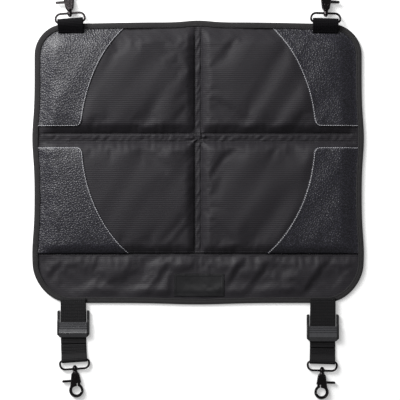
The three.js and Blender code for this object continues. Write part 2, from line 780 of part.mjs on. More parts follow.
// Adjustable strap: from its loose end around the middle bar, under the lock and around the eye's bar.
function adjustableStrapPath(lockReach, barReach) {
  const wrap = wrapRadius(eyeWireRadius);
  const eyeZ = hookThickness / 2;
  const bend = halfPly + seatGap;
  const farSide = middleBarY + middleBarWidth;
  const tailEnd = lockReach + lockLength + adjusterTail;
  const sewnEnd = tailEnd + sewnEndGap;
  const y = (reach) => lockReach + reach;
  const path = new THREE.Path();
  path.moveTo(tailEnd, tailZ);
  path.lineTo(y(farSide + bend + strapTurn), tailZ);
  path.quadraticCurveTo(y(farSide + bend), tailZ, y(farSide + bend), tailZ + strapTurn);
  path.absarc(y(farSide), middleBarTop, bend, 0, Math.PI / 2, false);
  path.absarc(y(middleBarY), middleBarTop, bend, Math.PI / 2, Math.PI, false);
  path.lineTo(y(strandY), middleBarZ);
  path.quadraticCurveTo(y(strandY), strandZ, y(strandY + strapTurn), strandZ);
  path.lineTo(barReach - loopEasing, strandZ);
  path.absarc(barReach, eyeZ, wrap, -Math.PI / 2, Math.PI / 2, false);
  path.bezierCurveTo(
    barReach - loopEasing, eyeZ + wrap, barReach - loopEasing, tailZ, barReach - loopSeamReach, tailZ,
  );
  path.lineTo(sewnEnd, tailZ);
  return spaced(path.getPoints(7), pathStep);
}

const bottomBend = (lockReach, barReach) => ({
  from: lockReach + lockLength + seatGap,
  to: barReach - wrapRadius(eyeWireRadius) - seatGap,
});

// Ladder lock: two rails, a round bar for the sewn strap, a flat bar for the adjustable one, and a
// ribbed plate that runs over a ridge down to the lower lip.
function ladderLock() {
  const inner = lockWidth / 2 - railWidth;
  const plateTop = plateBottom + plateThickness;
  const acrossX = (points, from, to) => {
    const shape = new THREE.Shape(points.map(([y, z]) => new THREE.Vector2(y, z)));
    const geometry = new THREE.ExtrudeGeometry(shape, { depth: to - from, bevelEnabled: false, steps: 1 });
    const turn = new THREE.Matrix4().makeBasis(
      new THREE.Vector3(0, 1, 0), new THREE.Vector3(0, 0, 1), new THREE.Vector3(1, 0, 0),
    );
    return toSolid(geometry.applyMatrix4(turn).translate(from, 0, 0));
  };
  const railProfile = [
    [0, lockEdge], [lockEdge, 0], [lockLength - lockEdge, 0], [lockLength, lockEdge],
    [lockLength, lipBottom + lockEdge], [lipStart + plateEdge, plateTop - plateEdge],
    [plateStart - railWidth / 4, plateTop - plateEdge], [plateStart - railWidth, earHeight],
    [lockEdge, earHeight], [0, earHeight - lockEdge],
  ];
  const ridgeY = lipStart - plateEdge;
  const plateProfile = [
    [plateStart, plateBottom], [lipStart, plateBottom], [lipStart, lipBottom],
    [lockLength - plateEdge, lipBottom], [lockLength, lipBottom + plateEdge],
    [lockLength, lipBottom + lipThickness - 1.5 * plateEdge],
    [lockLength - 2 * plateEdge, lipBottom + lipThickness],
    [lipStart + 1.5 * plateEdge, ridgeTop - 2 * plateEdge], [ridgeY, ridgeTop],
    [ridgeY - 2 * plateEdge, ridgeTop - plateEdge / 2],
  ];
  const slopeStart = ridgeY - ridgeSlope;
  const surface = (y) => plateTop + ridgeLift * 0.6 * smooth(y, slopeStart, ridgeY);
  for (let i = gripGrooves - 1; i >= 0; i -= 1) {
    const far = plateStart + grooveLead + i * gripPitch + grooveWidth;
    const middle = far - grooveWidth / 2;
    const near = far - grooveWidth;
    plateProfile.push([far, surface(far)], [middle, surface(middle) - grooveDepth], [near, surface(near)]);
  }
  plateProfile.push([plateStart + plateEdge, plateTop], [plateStart, plateTop - plateEdge]);
  const half = lockWidth / 2;
  const rails = acrossX(railProfile, -half, -inner).add(acrossX(railProfile, inner, half));
  const plate = acrossX(plateProfile, -inner - barRoot, inner + barRoot);
  const barSides = 12;
  const roundBar = Array.from({ length: barSides }, (_, i) => {
    const angle = (i / barSides) * 2 * Math.PI;
    return [sewnBarY + sewnBarRadius * Math.cos(angle), sewnBarZ + sewnBarRadius * Math.sin(angle)];
  });
  const edge = plateEdge;
  const farY = middleBarY + middleBarWidth;
  const flatBar = [
    [middleBarY + edge, middleBarZ], [farY - edge, middleBarZ], [farY, middleBarZ + edge],
    [farY, middleBarTop - edge], [farY - edge, middleBarTop], [middleBarY + edge, middleBarTop],
    [middleBarY, middleBarTop - edge], [middleBarY, middleBarZ + edge],
  ];
  const bars = acrossX(roundBar, -inner - barRoot, inner + barRoot)
    .add(acrossX(flatBar, -inner - barRoot, inner + barRoot));
  const plan = roundedRectangle(-half, 0, half, lockLength, [earRadius, earRadius, 0.5, 0.5]);
  const chamfer = (sign) => prism([
    new THREE.Vector2(sign * (half - lipChamfer), lockLength + 1),
    new THREE.Vector2(sign * (half + 1), lockLength + 1),
    new THREE.Vector2(sign * (half + 1), lockLength - lipChamfer),
  ], -1, ridgeTop + 1);
  const outline = prism(plan, -1, ridgeTop + 1).subtract(chamfer(1)).subtract(chamfer(-1));
  return toGeometry(rails.add(plate).add(bars).intersect(outline));
}

// Snap hook, along Y from the straight bar of its eye to the end of its ring, Z through its thickness

// Rectangular wire eye with a bored boss on its outer bar.
function swivelEye() {
  const halfX = eyeWidth / 2 - eyeWireRadius;
  const middle = roundedRectangle(-halfX, 0, halfX, eyeDepth, [
    eyeInnerBend, eyeInnerBend, eyeOuterBend, eyeOuterBend,
  ]);
  const sides = 8;
  const rings = middle.map((point, i) => {
    const before = middle[(i + middle.length - 1) % middle.length];
    const after = middle[(i + 1) % middle.length];
    const along = after.clone().sub(before).normalize();
    const out = new THREE.Vector2(along.y, -along.x);
    return Array.from({ length: sides }, (_, n) => {
      const angle = ((n + 0.5) / sides) * 2 * Math.PI;
      const side = eyeWireRadius * Math.cos(angle);
      const z = eyeWireRadius * Math.sin(angle);
      return new THREE.Vector3(point.x + side * out.x, point.y + side * out.y, z);
    });
  });
  const start = eyeDepth - bossLength / 2;
  const edge = 0.9;
  const boss = turned([
    [0, start], [bossRadius - edge, start], [bossRadius, start + edge],
    [bossRadius, start + bossLength - edge], [bossRadius - edge, start + bossLength], [0, start + bossLength],
  ], 12);
  const bore = turned([
    [0, start - 1], [studRadius + swivelGap, start - 1],
    [studRadius + swivelGap, start + bossLength + 1], [0, start + bossLength + 1],
  ], 10);
  return toGeometry(toSolid(loft(rings, true)).add(toSolid(boss)).subtract(toSolid(bore)));
}

const collarStart = eyeDepth + bossLength / 2 + swivelGap;
const headEnd = eyeDepth - bossLength / 2 - swivelGap;
const slotHalf = gateThickness / 2 + swivelGap;
const slotStart = pivotDistance - gateDiscRadius - 0.4;

// Turned about the pivot: a disc or a hole through the thickness.
function pivotDisc(radius, from, to, sides) {
  const geometry = turned([[0, from], [radius, from], [radius, to], [0, to]], sides);
  return toSolid(geometry.rotateX(Math.PI / 2).translate(0, pivotDistance, 0));
}

// Hook: swivel stud and collar, two cheeks with the gate's slot between them, and the open ring.
function hookBody() {
  const collarEnd = collarStart + collarLength;
  const stem = turned([
    [0, headEnd - studHeadLength], [studHeadTip, headEnd - studHeadLength], [studHeadRadius, headEnd - 0.6],
    [studHeadRadius, headEnd], [studRadius, headEnd], [studRadius, collarStart],
    [collarRadius - 0.6, collarStart], [collarRadius, collarStart + 1.2], [collarRadius, collarEnd - 1],
    [collarRadius - 1, collarEnd], [0, collarEnd],
  ], 12);
  const [neck, chest, waist, hip] = cheekHalfWidths;
  const right = [
    [neck, collarStart + 1.6], [chest, collarStart + 3.8], [waist, pivotDistance],
    [hip, pivotDistance + 5.5], [hookRingRadius - 2.4, hookRingDistance - 7.2],
    [hookRingRadius - 1.2, hookRingDistance - 3.6],
  ];
  const left = right.map(([x, y]) => [-x, y]).reverse();
  const cheekShape = new THREE.Shape([...right, ...left].map(([x, y]) => new THREE.Vector2(x, y)));
  const bevel = 1.1;
  const cheeks = new THREE.ExtrudeGeometry(cheekShape, {
    depth: hookThickness - 2 * bevel,
    steps: 1,
    bevelThickness: bevel,
    bevelSize: bevel,
    bevelOffset: -bevel,
    bevelSegments: 1,
  }).translate(0, 0, bevel - hookThickness / 2);
  const halfRing = hookRingThickness / 2;
  const ringSides = 20;
  const ringProfile = [
    [hookHoleRadius, -1.4], [hookHoleRadius + 1.2, -halfRing], [hookRingRadius - 1.4, -halfRing],
    [hookRingRadius, -1.5], [hookRingRadius, 1.5], [hookRingRadius - 1.4, halfRing],
    [hookHoleRadius + 1.2, halfRing], [hookHoleRadius, 1.4], [hookHoleRadius, -1.4],
  ];
  const ring = turned(ringProfile, ringSides).rotateX(Math.PI / 2).translate(0, hookRingDistance, 0);
  const hole = turned([
    [0, -hookThickness], [hookHoleRadius, -hookThickness],
    [hookHoleRadius, hookThickness], [0, hookThickness],
  ], ringSides).rotateX(Math.PI / 2).translate(0, hookRingDistance, 0);
  const side = hookRingRadius + 2;
  const slotFloor = hookRingDistance - hookHoleRadius + 0.4;
  const slot = box([-side, slotStart, -slotHalf], [side, slotEnd, slotHalf])
    .add(box([-slotSpine, slotEnd - 0.1, -slotHalf], [side, slotFloor, slotHalf]));
  const mouthReach = gateReach + swivelGap;
  const mouthLow = [gateMouth, slotEnd + slotLedge, -hookThickness];
  const mouthHigh = [side, hookRingDistance + side, hookThickness];
  const mouth = pivotDisc(mouthReach, -hookThickness, hookThickness, 28).intersect(box(mouthLow, mouthHigh));
  const headRoom = rivetHeadHeight + swivelGap;
  const rivetHoles = pivotDisc(rivetRadius + swivelGap, -hookThickness, hookThickness, 8)
    .add(pivotDisc(rivetHeadRadius + swivelGap, hookThickness / 2 - headRoom, hookThickness, 8))
    .add(pivotDisc(rivetHeadRadius + swivelGap, -hookThickness, headRoom - hookThickness / 2, 8));
  return toGeometry(toSolid(cheeks).add(toSolid(ring)).subtract(toSolid(hole)).add(toSolid(stem))
    .subtract(slot).subtract(mouth).subtract(rivetHoles));
}

// Gate and lever in one casting: a disc on the rivet, the arm that closes the ring and the thumb lever.
function triggerGate() {
  const half = gateThickness / 2;
  const arm = new THREE.Shape();
  arm.moveTo(-1.5, pivotDistance + 3.1);
  arm.absarc(0, hookRingDistance, gateInnerRadius, -1.22, 0.26, false);
  arm.absarc(0, hookRingDistance, gateOuterRadius, 0.26, -0.87, true);
  arm.lineTo(5.7, pivotDistance + 4.2);
  arm.lineTo(3.4, pivotDistance);
  const armPoints = spaced(arm.getPoints(5), 0.05);
  const leverTop = pivotDistance + leverDrop - leverThickness / 2;
  const leverBottom = leverTop + leverThickness;
  const lever = [
    [-3.4, pivotDistance + 1.2], [-5, leverTop - 0.3], [-8, leverTop], [-leverReach + 1, leverTop],
    [-leverReach, leverTop + 1], [-leverReach, leverBottom - 1], [-leverReach + 1, leverBottom],
    [-7, leverBottom], [-3.4, leverBottom - 0.6], [0, pivotDistance + 3.6],
  ].map(([x, y]) => new THREE.Vector2(x, y));
  const disc = pivotDisc(gateDiscRadius, -half, half, 16);
  const nose = pivotDisc(gateReach, -half, half, 28);
  const armPlate = prism(armPoints, -half, half).intersect(nose);
  const leverPlate = prism(lever.reverse(), -half, half);
  const joined = armPlate.add(disc).add(leverPlate);
  const recessFloor = half - springRecess;
  const recess = pivotDisc(springCoilRadius + springWireRadius + swivelGap, recessFloor, half + 1, 12);
  const bore = pivotDisc(rivetRadius + swivelGap, -half - 1, half + 1, 8);
  return toGeometry(joined.subtract(recess).subtract(bore));
}

// Rivet through both cheeks, with a flat head sunk in each.
function gateRivet() {
  const end = hookThickness / 2;
  const under = end - rivetHeadHeight;
  const profile = [
    [0, -end], [rivetHeadRadius, -end], [rivetHeadRadius, -under], [rivetRadius, -under],
    [rivetRadius, under], [rivetHeadRadius, under], [rivetHeadRadius, end], [0, end],
  ];
  return turned(profile, 8).rotateX(Math.PI / 2).translate(0, pivotDistance, 0);
}

// Torsion spring in the recess of the gate's disc, around the rivet: level turns with a short rise
// from one to the next.
function gateSpring() {
  const turnSteps = 8;
  const steps = Math.round(springTurns * turnSteps);
  const sides = 4;
  const low = gateThickness / 2 - springRecess + swivelGap + springWireRadius;
  const pitch = 2 * springWireRadius + springCoilGap;
  const rings = Array.from({ length: steps + 1 }, (_, i) => {
    const angle = (i / turnSteps) * 2 * Math.PI;
    const out = new THREE.Vector3(Math.cos(angle), Math.sin(angle), 0);
    const middle = out.clone().multiplyScalar(springCoilRadius - springWireRadius);
    middle.z = low + Math.floor(i / turnSteps) * pitch;
    return Array.from({ length: sides }, (_unused, n) => {
      const around = (n / sides) * 2 * Math.PI;
      const corner = middle.clone().addScaledVector(out, springWireRadius * Math.cos(around));
      corner.z += springWireRadius * Math.sin(around);
      return corner;
    });
  });
  const corners = rings.flat();
  const triangles = [];
  for (let i = 0; i < steps; i += 1) {
    for (let n = 0; n < sides; n += 1) {
      const a = i * sides + n;
      const b = i * sides + ((n + 1) % sides);
      triangles.push([a, b, b + sides], [a, b + sides, a + sides]);
    }
  }
  const last = steps * sides;
  for (let n = 1; n < sides - 1; n += 1) {
    triangles.push([0, n + 1, n], [last, last + n, last + n + 1]);
  }
  return closedGeometry(corners, triangles).translate(0, pivotDistance, 0);
}

// One snap hook. Turned over, its lever points the other way.
function snapHook(place, turnedOver) {
  const hook = new THREE.Group();
  hook.add(piece(`eye_${place}`, swivelEye(), castMetal()));
  const swivelling = new THREE.Group();
  swivelling.rotation.y = turnedOver ? Math.PI : 0;
  swivelling.add(piece(`hook_${place}`, hookBody(), castMetal()));
  swivelling.add(piece(`trigger_${place}`, triggerGate(), castMetal()));
  swivelling.add(piece(`rivet_${place}`, gateRivet(), castMetal()));
  swivelling.add(piece(`spring_${place}`, gateSpring(), springSteel()));
  hook.add(swivelling);
  return hook;
}

// Assembly

const sideNames = { '-1': 'left', 1: 'right' };

function mat() {
  const group = new THREE.Group();
  group.add(backCover(), frontPanel(), lowerFlap(), edgeBinding(), labelPatch());
  for (const side of [-1, 1]) {
    for (const upper of [true, false]) {
      const place = `${upper ? 'upper' : 'lower'}_${sideNames[side]}`;
      group.add(piece(`foam_pad_${place}`, foamPad(side, upper), foam()));
      group.add(piece(`corner_patch_${place}`, cornerPatch(side, upper), leather()));
    }
  }
  return group;
}

// Top strap and hook of one side, in a frame whose Y runs out from the mat's top edge.
function topAssembly(side) {
  const index = side < 0 ? 0 : 1;
  const lean = topLeans[index];
  const name = sideNames[side];
  const group = new THREE.Group();
  group.position.set(side * topStrapSpacing, edgeLine(topStrapSpacing, 1), 0);
  group.add(piece(`top_strap_${name}`, topStrap(lean), webbing()));
  const bar = bentFrame(topBarReach, topBend.from, topBend.to, lean);
  const reach = hookRingDistance + hookRingRadius;
  const pitch = Math.asin((topBarHeight - hookRingThickness / 2) / reach);
  const hook = snapHook(`top_${name}`, side > 0);
  hook.position.set(bar.x, bar.y, topBarHeight);
  hook.rotation.set(-pitch, 0, bar.angle, 'ZYX');
  group.add(hook);
  return group;
}

// Bottom straps, ladder lock and hook of one side, in a frame whose Y runs out from the bottom edge.
function bottomAssembly(side) {
  const index = side < 0 ? 0 : 1;
  const lean = bottomLeans[index];
  const lockReach = lockReaches[index];
  const barReach = bottomBarReaches[index];
  const name = sideNames[side];
  const group = new THREE.Group();
  group.position.set(side * bottomStrapSpacing, edgeLine(bottomStrapSpacing, -1), 0);
  group.rotation.z = Math.PI;
  group.add(piece(`sewn_strap_${name}`, ribbon(sewnStrapPath(lockReach), true), webbing()));
  const lock = piece(`ladder_lock_${name}`, ladderLock(), plastic());
  lock.position.y = lockReach;
  group.add(lock);
  const { from, to } = bottomBend(lockReach, barReach);
  const strap = bendSideways(ribbon(adjustableStrapPath(lockReach, barReach), false), from, to, lean);
  group.add(piece(`adjustable_strap_${name}`, strap, webbing()));
  const bar = bentFrame(barReach, from, to, lean);
  const hook = snapHook(`bottom_${name}`, side < 0);
  hook.position.set(bar.x, bar.y, hookThickness / 2);
  hook.rotation.z = bar.angle;
  group.add(hook);
  return group;
}

const product = new THREE.Group();
product.add(mat());
for (const side of [-1, 1]) {
  product.add(topAssembly(side), bottomAssembly(side));
}

// The origin is the middle of the footprint, on the floor.
product.updateMatrixWorld(true);
const footprint = new THREE.Box3().setFromObject(product, true);
const middle = footprint.getCenter(new THREE.Vector3());
product.position.set(-middle.x, -middle.y, 0);

export default product;
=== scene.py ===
"""Looks of a quilted car seat protector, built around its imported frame.

Everything is in metres. The mat lies face up: X runs across it, Y up it, Z up from the floor. Layout
values of the mat are measured from its own middle and shifted along Y into the frame.
"""

from __future__ import annotations

import logging
import math
from dataclasses import dataclass, field, replace
from enum import Enum
from typing import Callable, Iterable, Sequence

import bmesh
import bpy
from mathutils import Matrix, Vector, noise


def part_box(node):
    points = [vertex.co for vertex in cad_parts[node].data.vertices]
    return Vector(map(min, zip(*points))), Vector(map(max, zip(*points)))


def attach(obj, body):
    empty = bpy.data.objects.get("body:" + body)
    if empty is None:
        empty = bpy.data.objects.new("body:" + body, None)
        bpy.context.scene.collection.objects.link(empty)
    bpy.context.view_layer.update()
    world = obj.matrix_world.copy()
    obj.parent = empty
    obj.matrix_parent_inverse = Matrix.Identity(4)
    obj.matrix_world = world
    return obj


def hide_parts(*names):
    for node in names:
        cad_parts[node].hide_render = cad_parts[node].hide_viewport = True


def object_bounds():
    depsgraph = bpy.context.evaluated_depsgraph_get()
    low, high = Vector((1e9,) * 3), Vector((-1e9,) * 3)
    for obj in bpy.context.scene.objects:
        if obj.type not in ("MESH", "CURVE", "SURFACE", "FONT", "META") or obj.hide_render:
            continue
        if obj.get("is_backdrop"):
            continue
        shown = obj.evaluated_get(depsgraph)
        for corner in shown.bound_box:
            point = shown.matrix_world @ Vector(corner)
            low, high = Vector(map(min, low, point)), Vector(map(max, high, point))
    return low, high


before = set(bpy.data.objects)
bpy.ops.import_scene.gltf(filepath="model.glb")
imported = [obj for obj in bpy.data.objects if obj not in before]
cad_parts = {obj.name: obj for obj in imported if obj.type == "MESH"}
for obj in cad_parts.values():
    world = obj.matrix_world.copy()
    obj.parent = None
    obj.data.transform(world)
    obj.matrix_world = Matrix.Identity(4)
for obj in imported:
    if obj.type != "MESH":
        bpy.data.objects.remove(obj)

logging.basicConfig(level=logging.INFO, format="%(message)s")
log = logging.getLogger("seat_protector")

MM = 0.001

Point = tuple[float, float]
Height = Callable[[float, float], float]
Socket = bpy.types.NodeSocket


# Small tools


def clamp(value: float, low: float = 0.0, high: float = 1.0) -> float:
    """Keeps a value between two limits."""
    return max(low, min(high, value))


def smooth(value: float, low: float, high: float) -> float:
    """Smooth step from 0 at low to 1 at high."""
    t = clamp((value - low) / (high - low))
    return t * t * (3 - 2 * t)


def mix(a: float, b: float, t: float) -> float:
    """Value between a and b at the share t."""
    return a + (b - a) * t


def bump(distance: float, reach: float) -> float:
    """Bell curve, 1 at no distance."""
    return math.exp(-((distance / reach) ** 2))


def rolled(share: float) -> float:
    """Height of a rounded edge, from 0 at its outside to 1 at its inner end."""
    return math.sqrt(1 - (1 - clamp(share)) ** 2)


def kept_above(value: float, low: float, ease: float) -> float:
    """Value that eases off towards a lower limit instead of passing it."""
    over = (value - low) / ease
    return value if over > 30 else low + ease * math.log1p(math.exp(over))


def linear(hex_colour: str) -> tuple[float, float, float, float]:
    """Turns an sRGB hex colour to linear light.

    Args:
        hex_colour: Six hex digits after a hash sign.

    Returns:
        Red, green, blue and an alpha of 1.
    """
    values = [int(hex_colour[i:i + 2], 16) / 255 for i in (1, 3, 5)]
    red, green, blue = [v / 12.92 if v <= 0.04045 else ((v + 0.055) / 1.055) ** 2.4 for v in values]
    return red, green, blue, 1.0


def add_node(
    tree: bpy.types.NodeTree, kind: str, inputs: dict[str | int, object] | None = None, **settings: object
) -> bpy.types.Node:
    """Adds a shader node with its settings, values and links.

    Args:
        tree: Node tree of a material or world.
        kind: Blender's name of the node's type.
        inputs: Socket name or number to a value, or to the output socket that feeds it.
        **settings: Properties of the node itself.

    Returns:
        The new node.
    """
    node = tree.nodes.new(kind)
    for name, value in settings.items():
        setattr(node, name, value)
    for socket, value in (inputs or {}).items():
        if isinstance(value, bpy.types.NodeSocket):
            tree.links.new(value, node.inputs[socket])
        else:
            node.inputs[socket].default_value = value
    return node


class Along(Enum):
    """Where a pattern's coordinates come from."""

    OBJECT = "object"
    STRAP = "strap"


STRAP_ATTRIBUTE = "along_strap"


# Finishes


@dataclass(frozen=True)
class Surface:
    """Node tree of one material, and the patterns that the finishes draw in it."""

    tree: bpy.types.NodeTree
    shader: bpy.types.Node
    place: Socket

    def ribs(self, pitch: float, axis: str) -> Socket:
        """Parallel ribs, 0 to 1 and back once for each pitch along an axis.

        Args:
            pitch: Distance from one rib to the next.
            axis: X, Y or Z, the axis that crosses the ribs.

        Returns:
            Socket with the pattern's factor.
        """
        part = add_node(self.tree, "ShaderNodeSeparateXYZ", {0: self.place}).outputs[axis]
        turn = add_node(self.tree, "ShaderNodeMath", {0: part, 1: 2 * math.pi / pitch}, operation="MULTIPLY")
        wave = add_node(self.tree, "ShaderNodeMath", {0: turn.outputs[0]}, operation="SINE")
        return add_node(self.tree, "ShaderNodeMapRange", {
            "Value": wave.outputs[0], "From Min": -1.0, "From Max": 1.0}).outputs[0]

    def clouds(self, size: float, detail: float, stretch: tuple[float, float, float] = (1, 1, 1)) -> Socket:
        """Cloudy pattern.

        Args:
            size: Real size of one cloud.
            detail: Octaves.
            stretch: Factors that widen the clouds along each axis.

        Returns:
            Socket with the pattern's factor.
        """
        scale = tuple(1 / (size * s) for s in stretch)
        mapped = add_node(self.tree, "ShaderNodeMapping", {"Vector": self.place, "Scale": scale})
        return add_node(self.tree, "ShaderNodeTexNoise", {
            "Vector": mapped.outputs[0], "Scale": 1.0, "Detail": detail, "Roughness": 0.6}).outputs["Fac"]

    def tint(self, colour: str, factor: Socket, dark: float, light: float) -> None:
        """Colours the shader between a darker and a lighter tone of a colour.

        Args:
            colour: Colour as an sRGB hex value.
            factor: Pattern, 0 for the darker tone and 1 for the lighter.
            dark: Share of the colour in the darker tone.
            light: Share of the colour in the lighter tone.
        """
        base = linear(colour)[:3]
        low = (*(c * dark for c in base), 1.0)
        high = (*(min(1.0, c * light) for c in base), 1.0)
        tone = add_node(self.tree, "ShaderNodeMix", {"Factor": factor, 6: low, 7: high}, data_type="RGBA")
        self.tree.links.new(tone.outputs[2], self.shader.inputs["Base Color"])

    def roughen(self, factor: Socket, low: float, high: float) -> None:
        """Lets the roughness follow a pattern from one value to another."""
        ranged = add_node(self.tree, "ShaderNodeMapRange", {"Value": factor, "To Min": low, "To Max": high})
        self.tree.links.new(ranged.outputs[0], self.shader.inputs["Roughness"])

    def relief(self, *layers: tuple[Socket, float]) -> None:
        """Stacks bumps on the shader's normal.

        Args:
            *layers: Pairs of a height pattern and its real height.
        """
        normal: dict[str | int, object] = {}
        for pattern, height in layers:
            raised = add_node(self.tree, "ShaderNodeBump", {
                "Height": pattern, "Distance": height, "Strength": 1.0, **normal})
            normal = {"Normal": raised.outputs[0]}
        self.tree.links.new(normal["Normal"], self.shader.inputs["Normal"])


@dataclass(frozen=True)
class Finish:
    """Opaque surface that the real finishes build on."""

    name: str
    colour: str
    roughness: float
    specular: float = 0.5
    metallic: float = 0.0
    sheen: float = 0.0
    along: Along = Along.OBJECT

    def material(self) -> bpy.types.Material:
        """Makes the material once, and returns it again afterwards.

        Returns:
            The material of this finish.
        """
        found = bpy.data.materials.get(self.name)
        if found:
            return found
        made = bpy.data.materials.new(self.name)
        made.use_nodes = True
        tree = made.node_tree
        shader = tree.nodes["Principled BSDF"]
        for socket, value in (
                ("Roughness", self.roughness), ("Specular IOR Level", self.specular),
                ("Metallic", self.metallic), ("Sheen Weight", self.sheen), ("Sheen Roughness", 0.5)):
            shader.inputs[socket].default_value = value
        if self.along is Along.STRAP:
            place = add_node(tree, "ShaderNodeAttribute", attribute_name=STRAP_ATTRIBUTE).outputs["Vector"]
        else:
            place = add_node(tree, "ShaderNodeTexCoord").outputs["Object"]
        self.dress(Surface(tree, shader, place))
        made.diffuse_color = linear(self.colour)
        return made

    def dress(self, surface: Surface) -> None:
        """Feeds the shader's colour, roughness and normal. Each kind of finish has its own way."""
        raise NotImplementedError


@dataclass(frozen=True)
class RibbedPolyester(Finish):
    """Solution-dyed polyester, woven with a crosswise rib: matt, with faint level lines and a soft sheen."""

    rib_pitch: float = 3.1 * MM
    rib_height: float = 0.13 * MM

    def dress(self, surface: Surface) -> None:
        """Ribs drawn coarser than the real 0.9 mm ones, so that they show, and broken by slubs.

        Args:
            surface: Node tree, shader and coordinates of the finish's material.
        """
        ribs = surface.ribs(self.rib_pitch, "Y")
        slubs = surface.clouds(size=1.6 * MM, detail=3, stretch=(9, 0.8, 1))
        picks = surface.clouds(size=0.9 * MM, detail=2, stretch=(0.9, 2.6, 1))
        cloud = surface.clouds(size=60 * MM, detail=3)
        tree = surface.tree
        yarn = add_node(tree, "ShaderNodeMix", {"Factor": 0.45, 2: slubs, 3: picks}).outputs[0]
        threads = add_node(tree, "ShaderNodeMath", {0: ribs, 1: yarn}, operation="MULTIPLY").outputs[0]
        both = add_node(tree, "ShaderNodeMix", {"Factor": 0.35, 2: threads, 3: cloud}).outputs[0]
        surface.tint(self.colour, both, dark=0.75, light=1.45)
        surface.relief((ribs, self.rib_height), (slubs, 0.22 * MM), (picks, 0.16 * MM))


@dataclass(frozen=True)
class WovenTape(Finish):
    """Woven polyester tape or webbing: close crosswise ribs over lengthwise cords."""

    rib_pitch: float = 2.2 * MM
    cord_pitch: float = 3.0 * MM
    rib_height: float = 0.3 * MM

    def dress(self, surface: Surface) -> None:
        """Crosswise ribs over faint lengthwise warp cords, drawn coarser than the real ones to show.

        Args:
            surface: Node tree, shader and coordinates of the finish's material.
        """
        ribs = surface.ribs(self.rib_pitch, "Y")
        cords = surface.ribs(self.cord_pitch, "X")
        fuzz = surface.clouds(size=1.2 * MM, detail=3)
        weave = add_node(surface.tree, "ShaderNodeMix", {"Factor": 0.3, 2: ribs, 3: cords}).outputs[0]
        tone = add_node(surface.tree, "ShaderNodeMath", {0: weave, 1: fuzz}, operation="MULTIPLY").outputs[0]
        surface.tint(self.colour, tone, dark=0.65, light=1.9)
        surface.relief((weave, self.rib_height), (fuzz, 0.15 * MM))


@dataclass(frozen=True)
class PebbledLeather(Finish):
    """Coated synthetic leather, embossed with a round pebble grain: glossy crowns in matt valleys."""

    grain: float = 2.9 * MM
    grain_height: float = 0.4 * MM
    valley_matt: float = 0.18
    crown_gloss: float = 0.06
    drift: tuple[float, float, float] = (2.0 * MM, 1.4 * MM, 0.0)

    def dress(self, surface: Surface) -> None:
        """Uneven pebbles parted by creases. The real 1.2 mm grain is drawn coarser, so that it shows.

        Args:
            surface: Node tree, shader and coordinates of the finish's material.
        """
        tree, wander = surface.tree, surface.clouds(size=6 * MM, detail=2)
        shift = add_node(tree, "ShaderNodeVectorMath", {0: wander, 1: self.drift}, operation="MULTIPLY")
        moved = add_node(tree, "ShaderNodeVectorMath", {0: surface.place, 1: shift.outputs[0]},
                         operation="ADD").outputs[0]
        gaps = add_node(tree, "ShaderNodeTexVoronoi", {"Vector": moved, "Scale": 1 / self.grain},
                        feature="DISTANCE_TO_EDGE").outputs["Distance"]
        middles = add_node(tree, "ShaderNodeTexVoronoi", {
            "Vector": moved, "Scale": 1 / self.grain, "Smoothness": 0.6},
            feature="SMOOTH_F1").outputs["Distance"]
        crease = add_node(tree, "ShaderNodeMapRange", {"Value": gaps, "From Max": 0.3},
                          interpolation_type="SMOOTHSTEP").outputs[0]
        dome = add_node(tree, "ShaderNodeMapRange", {
            "Value": middles, "From Max": 0.7, "To Min": 1.0, "To Max": 0.0}).outputs[0]
        pebble = add_node(tree, "ShaderNodeMix", {"Factor": 0.55, 2: crease, 3: dome}).outputs[0]
        fine = surface.clouds(size=1.1 * MM, detail=3)
        rubbed = surface.clouds(size=45 * MM, detail=2)
        shine = add_node(tree, "ShaderNodeMix", {"Factor": 0.35, 2: pebble, 3: rubbed}).outputs[0]
        surface.roughen(shine, self.roughness + self.valley_matt, self.roughness - self.crown_gloss)
        # Colour follows the grain: darker in the creases as painted shade, paler on the pebble crowns as a
        # painted highlight.
        surface.tint(self.colour, pebble, dark=0.35, light=1.4)
        surface.relief((pebble, self.grain_height), (fine, 0.07 * MM))


@dataclass(frozen=True)
class SatinRibbon(Finish):
    """Woven satin label stock: smooth and faintly glossy, with hair-fine lengthwise threads."""

    def dress(self, surface: Surface) -> None:
        """Fine long threads, and slow waves that catch the light.

        Args:
            surface: Node tree, shader and coordinates of the finish's material.
        """
        threads = surface.clouds(size=0.9 * MM, detail=2, stretch=(12, 1, 1))
        waves = surface.clouds(size=22 * MM, detail=1)
        surface.tint(self.colour, threads, dark=0.8, light=1.3)
        surface.relief((threads, 0.08 * MM), (waves, 0.5 * MM))


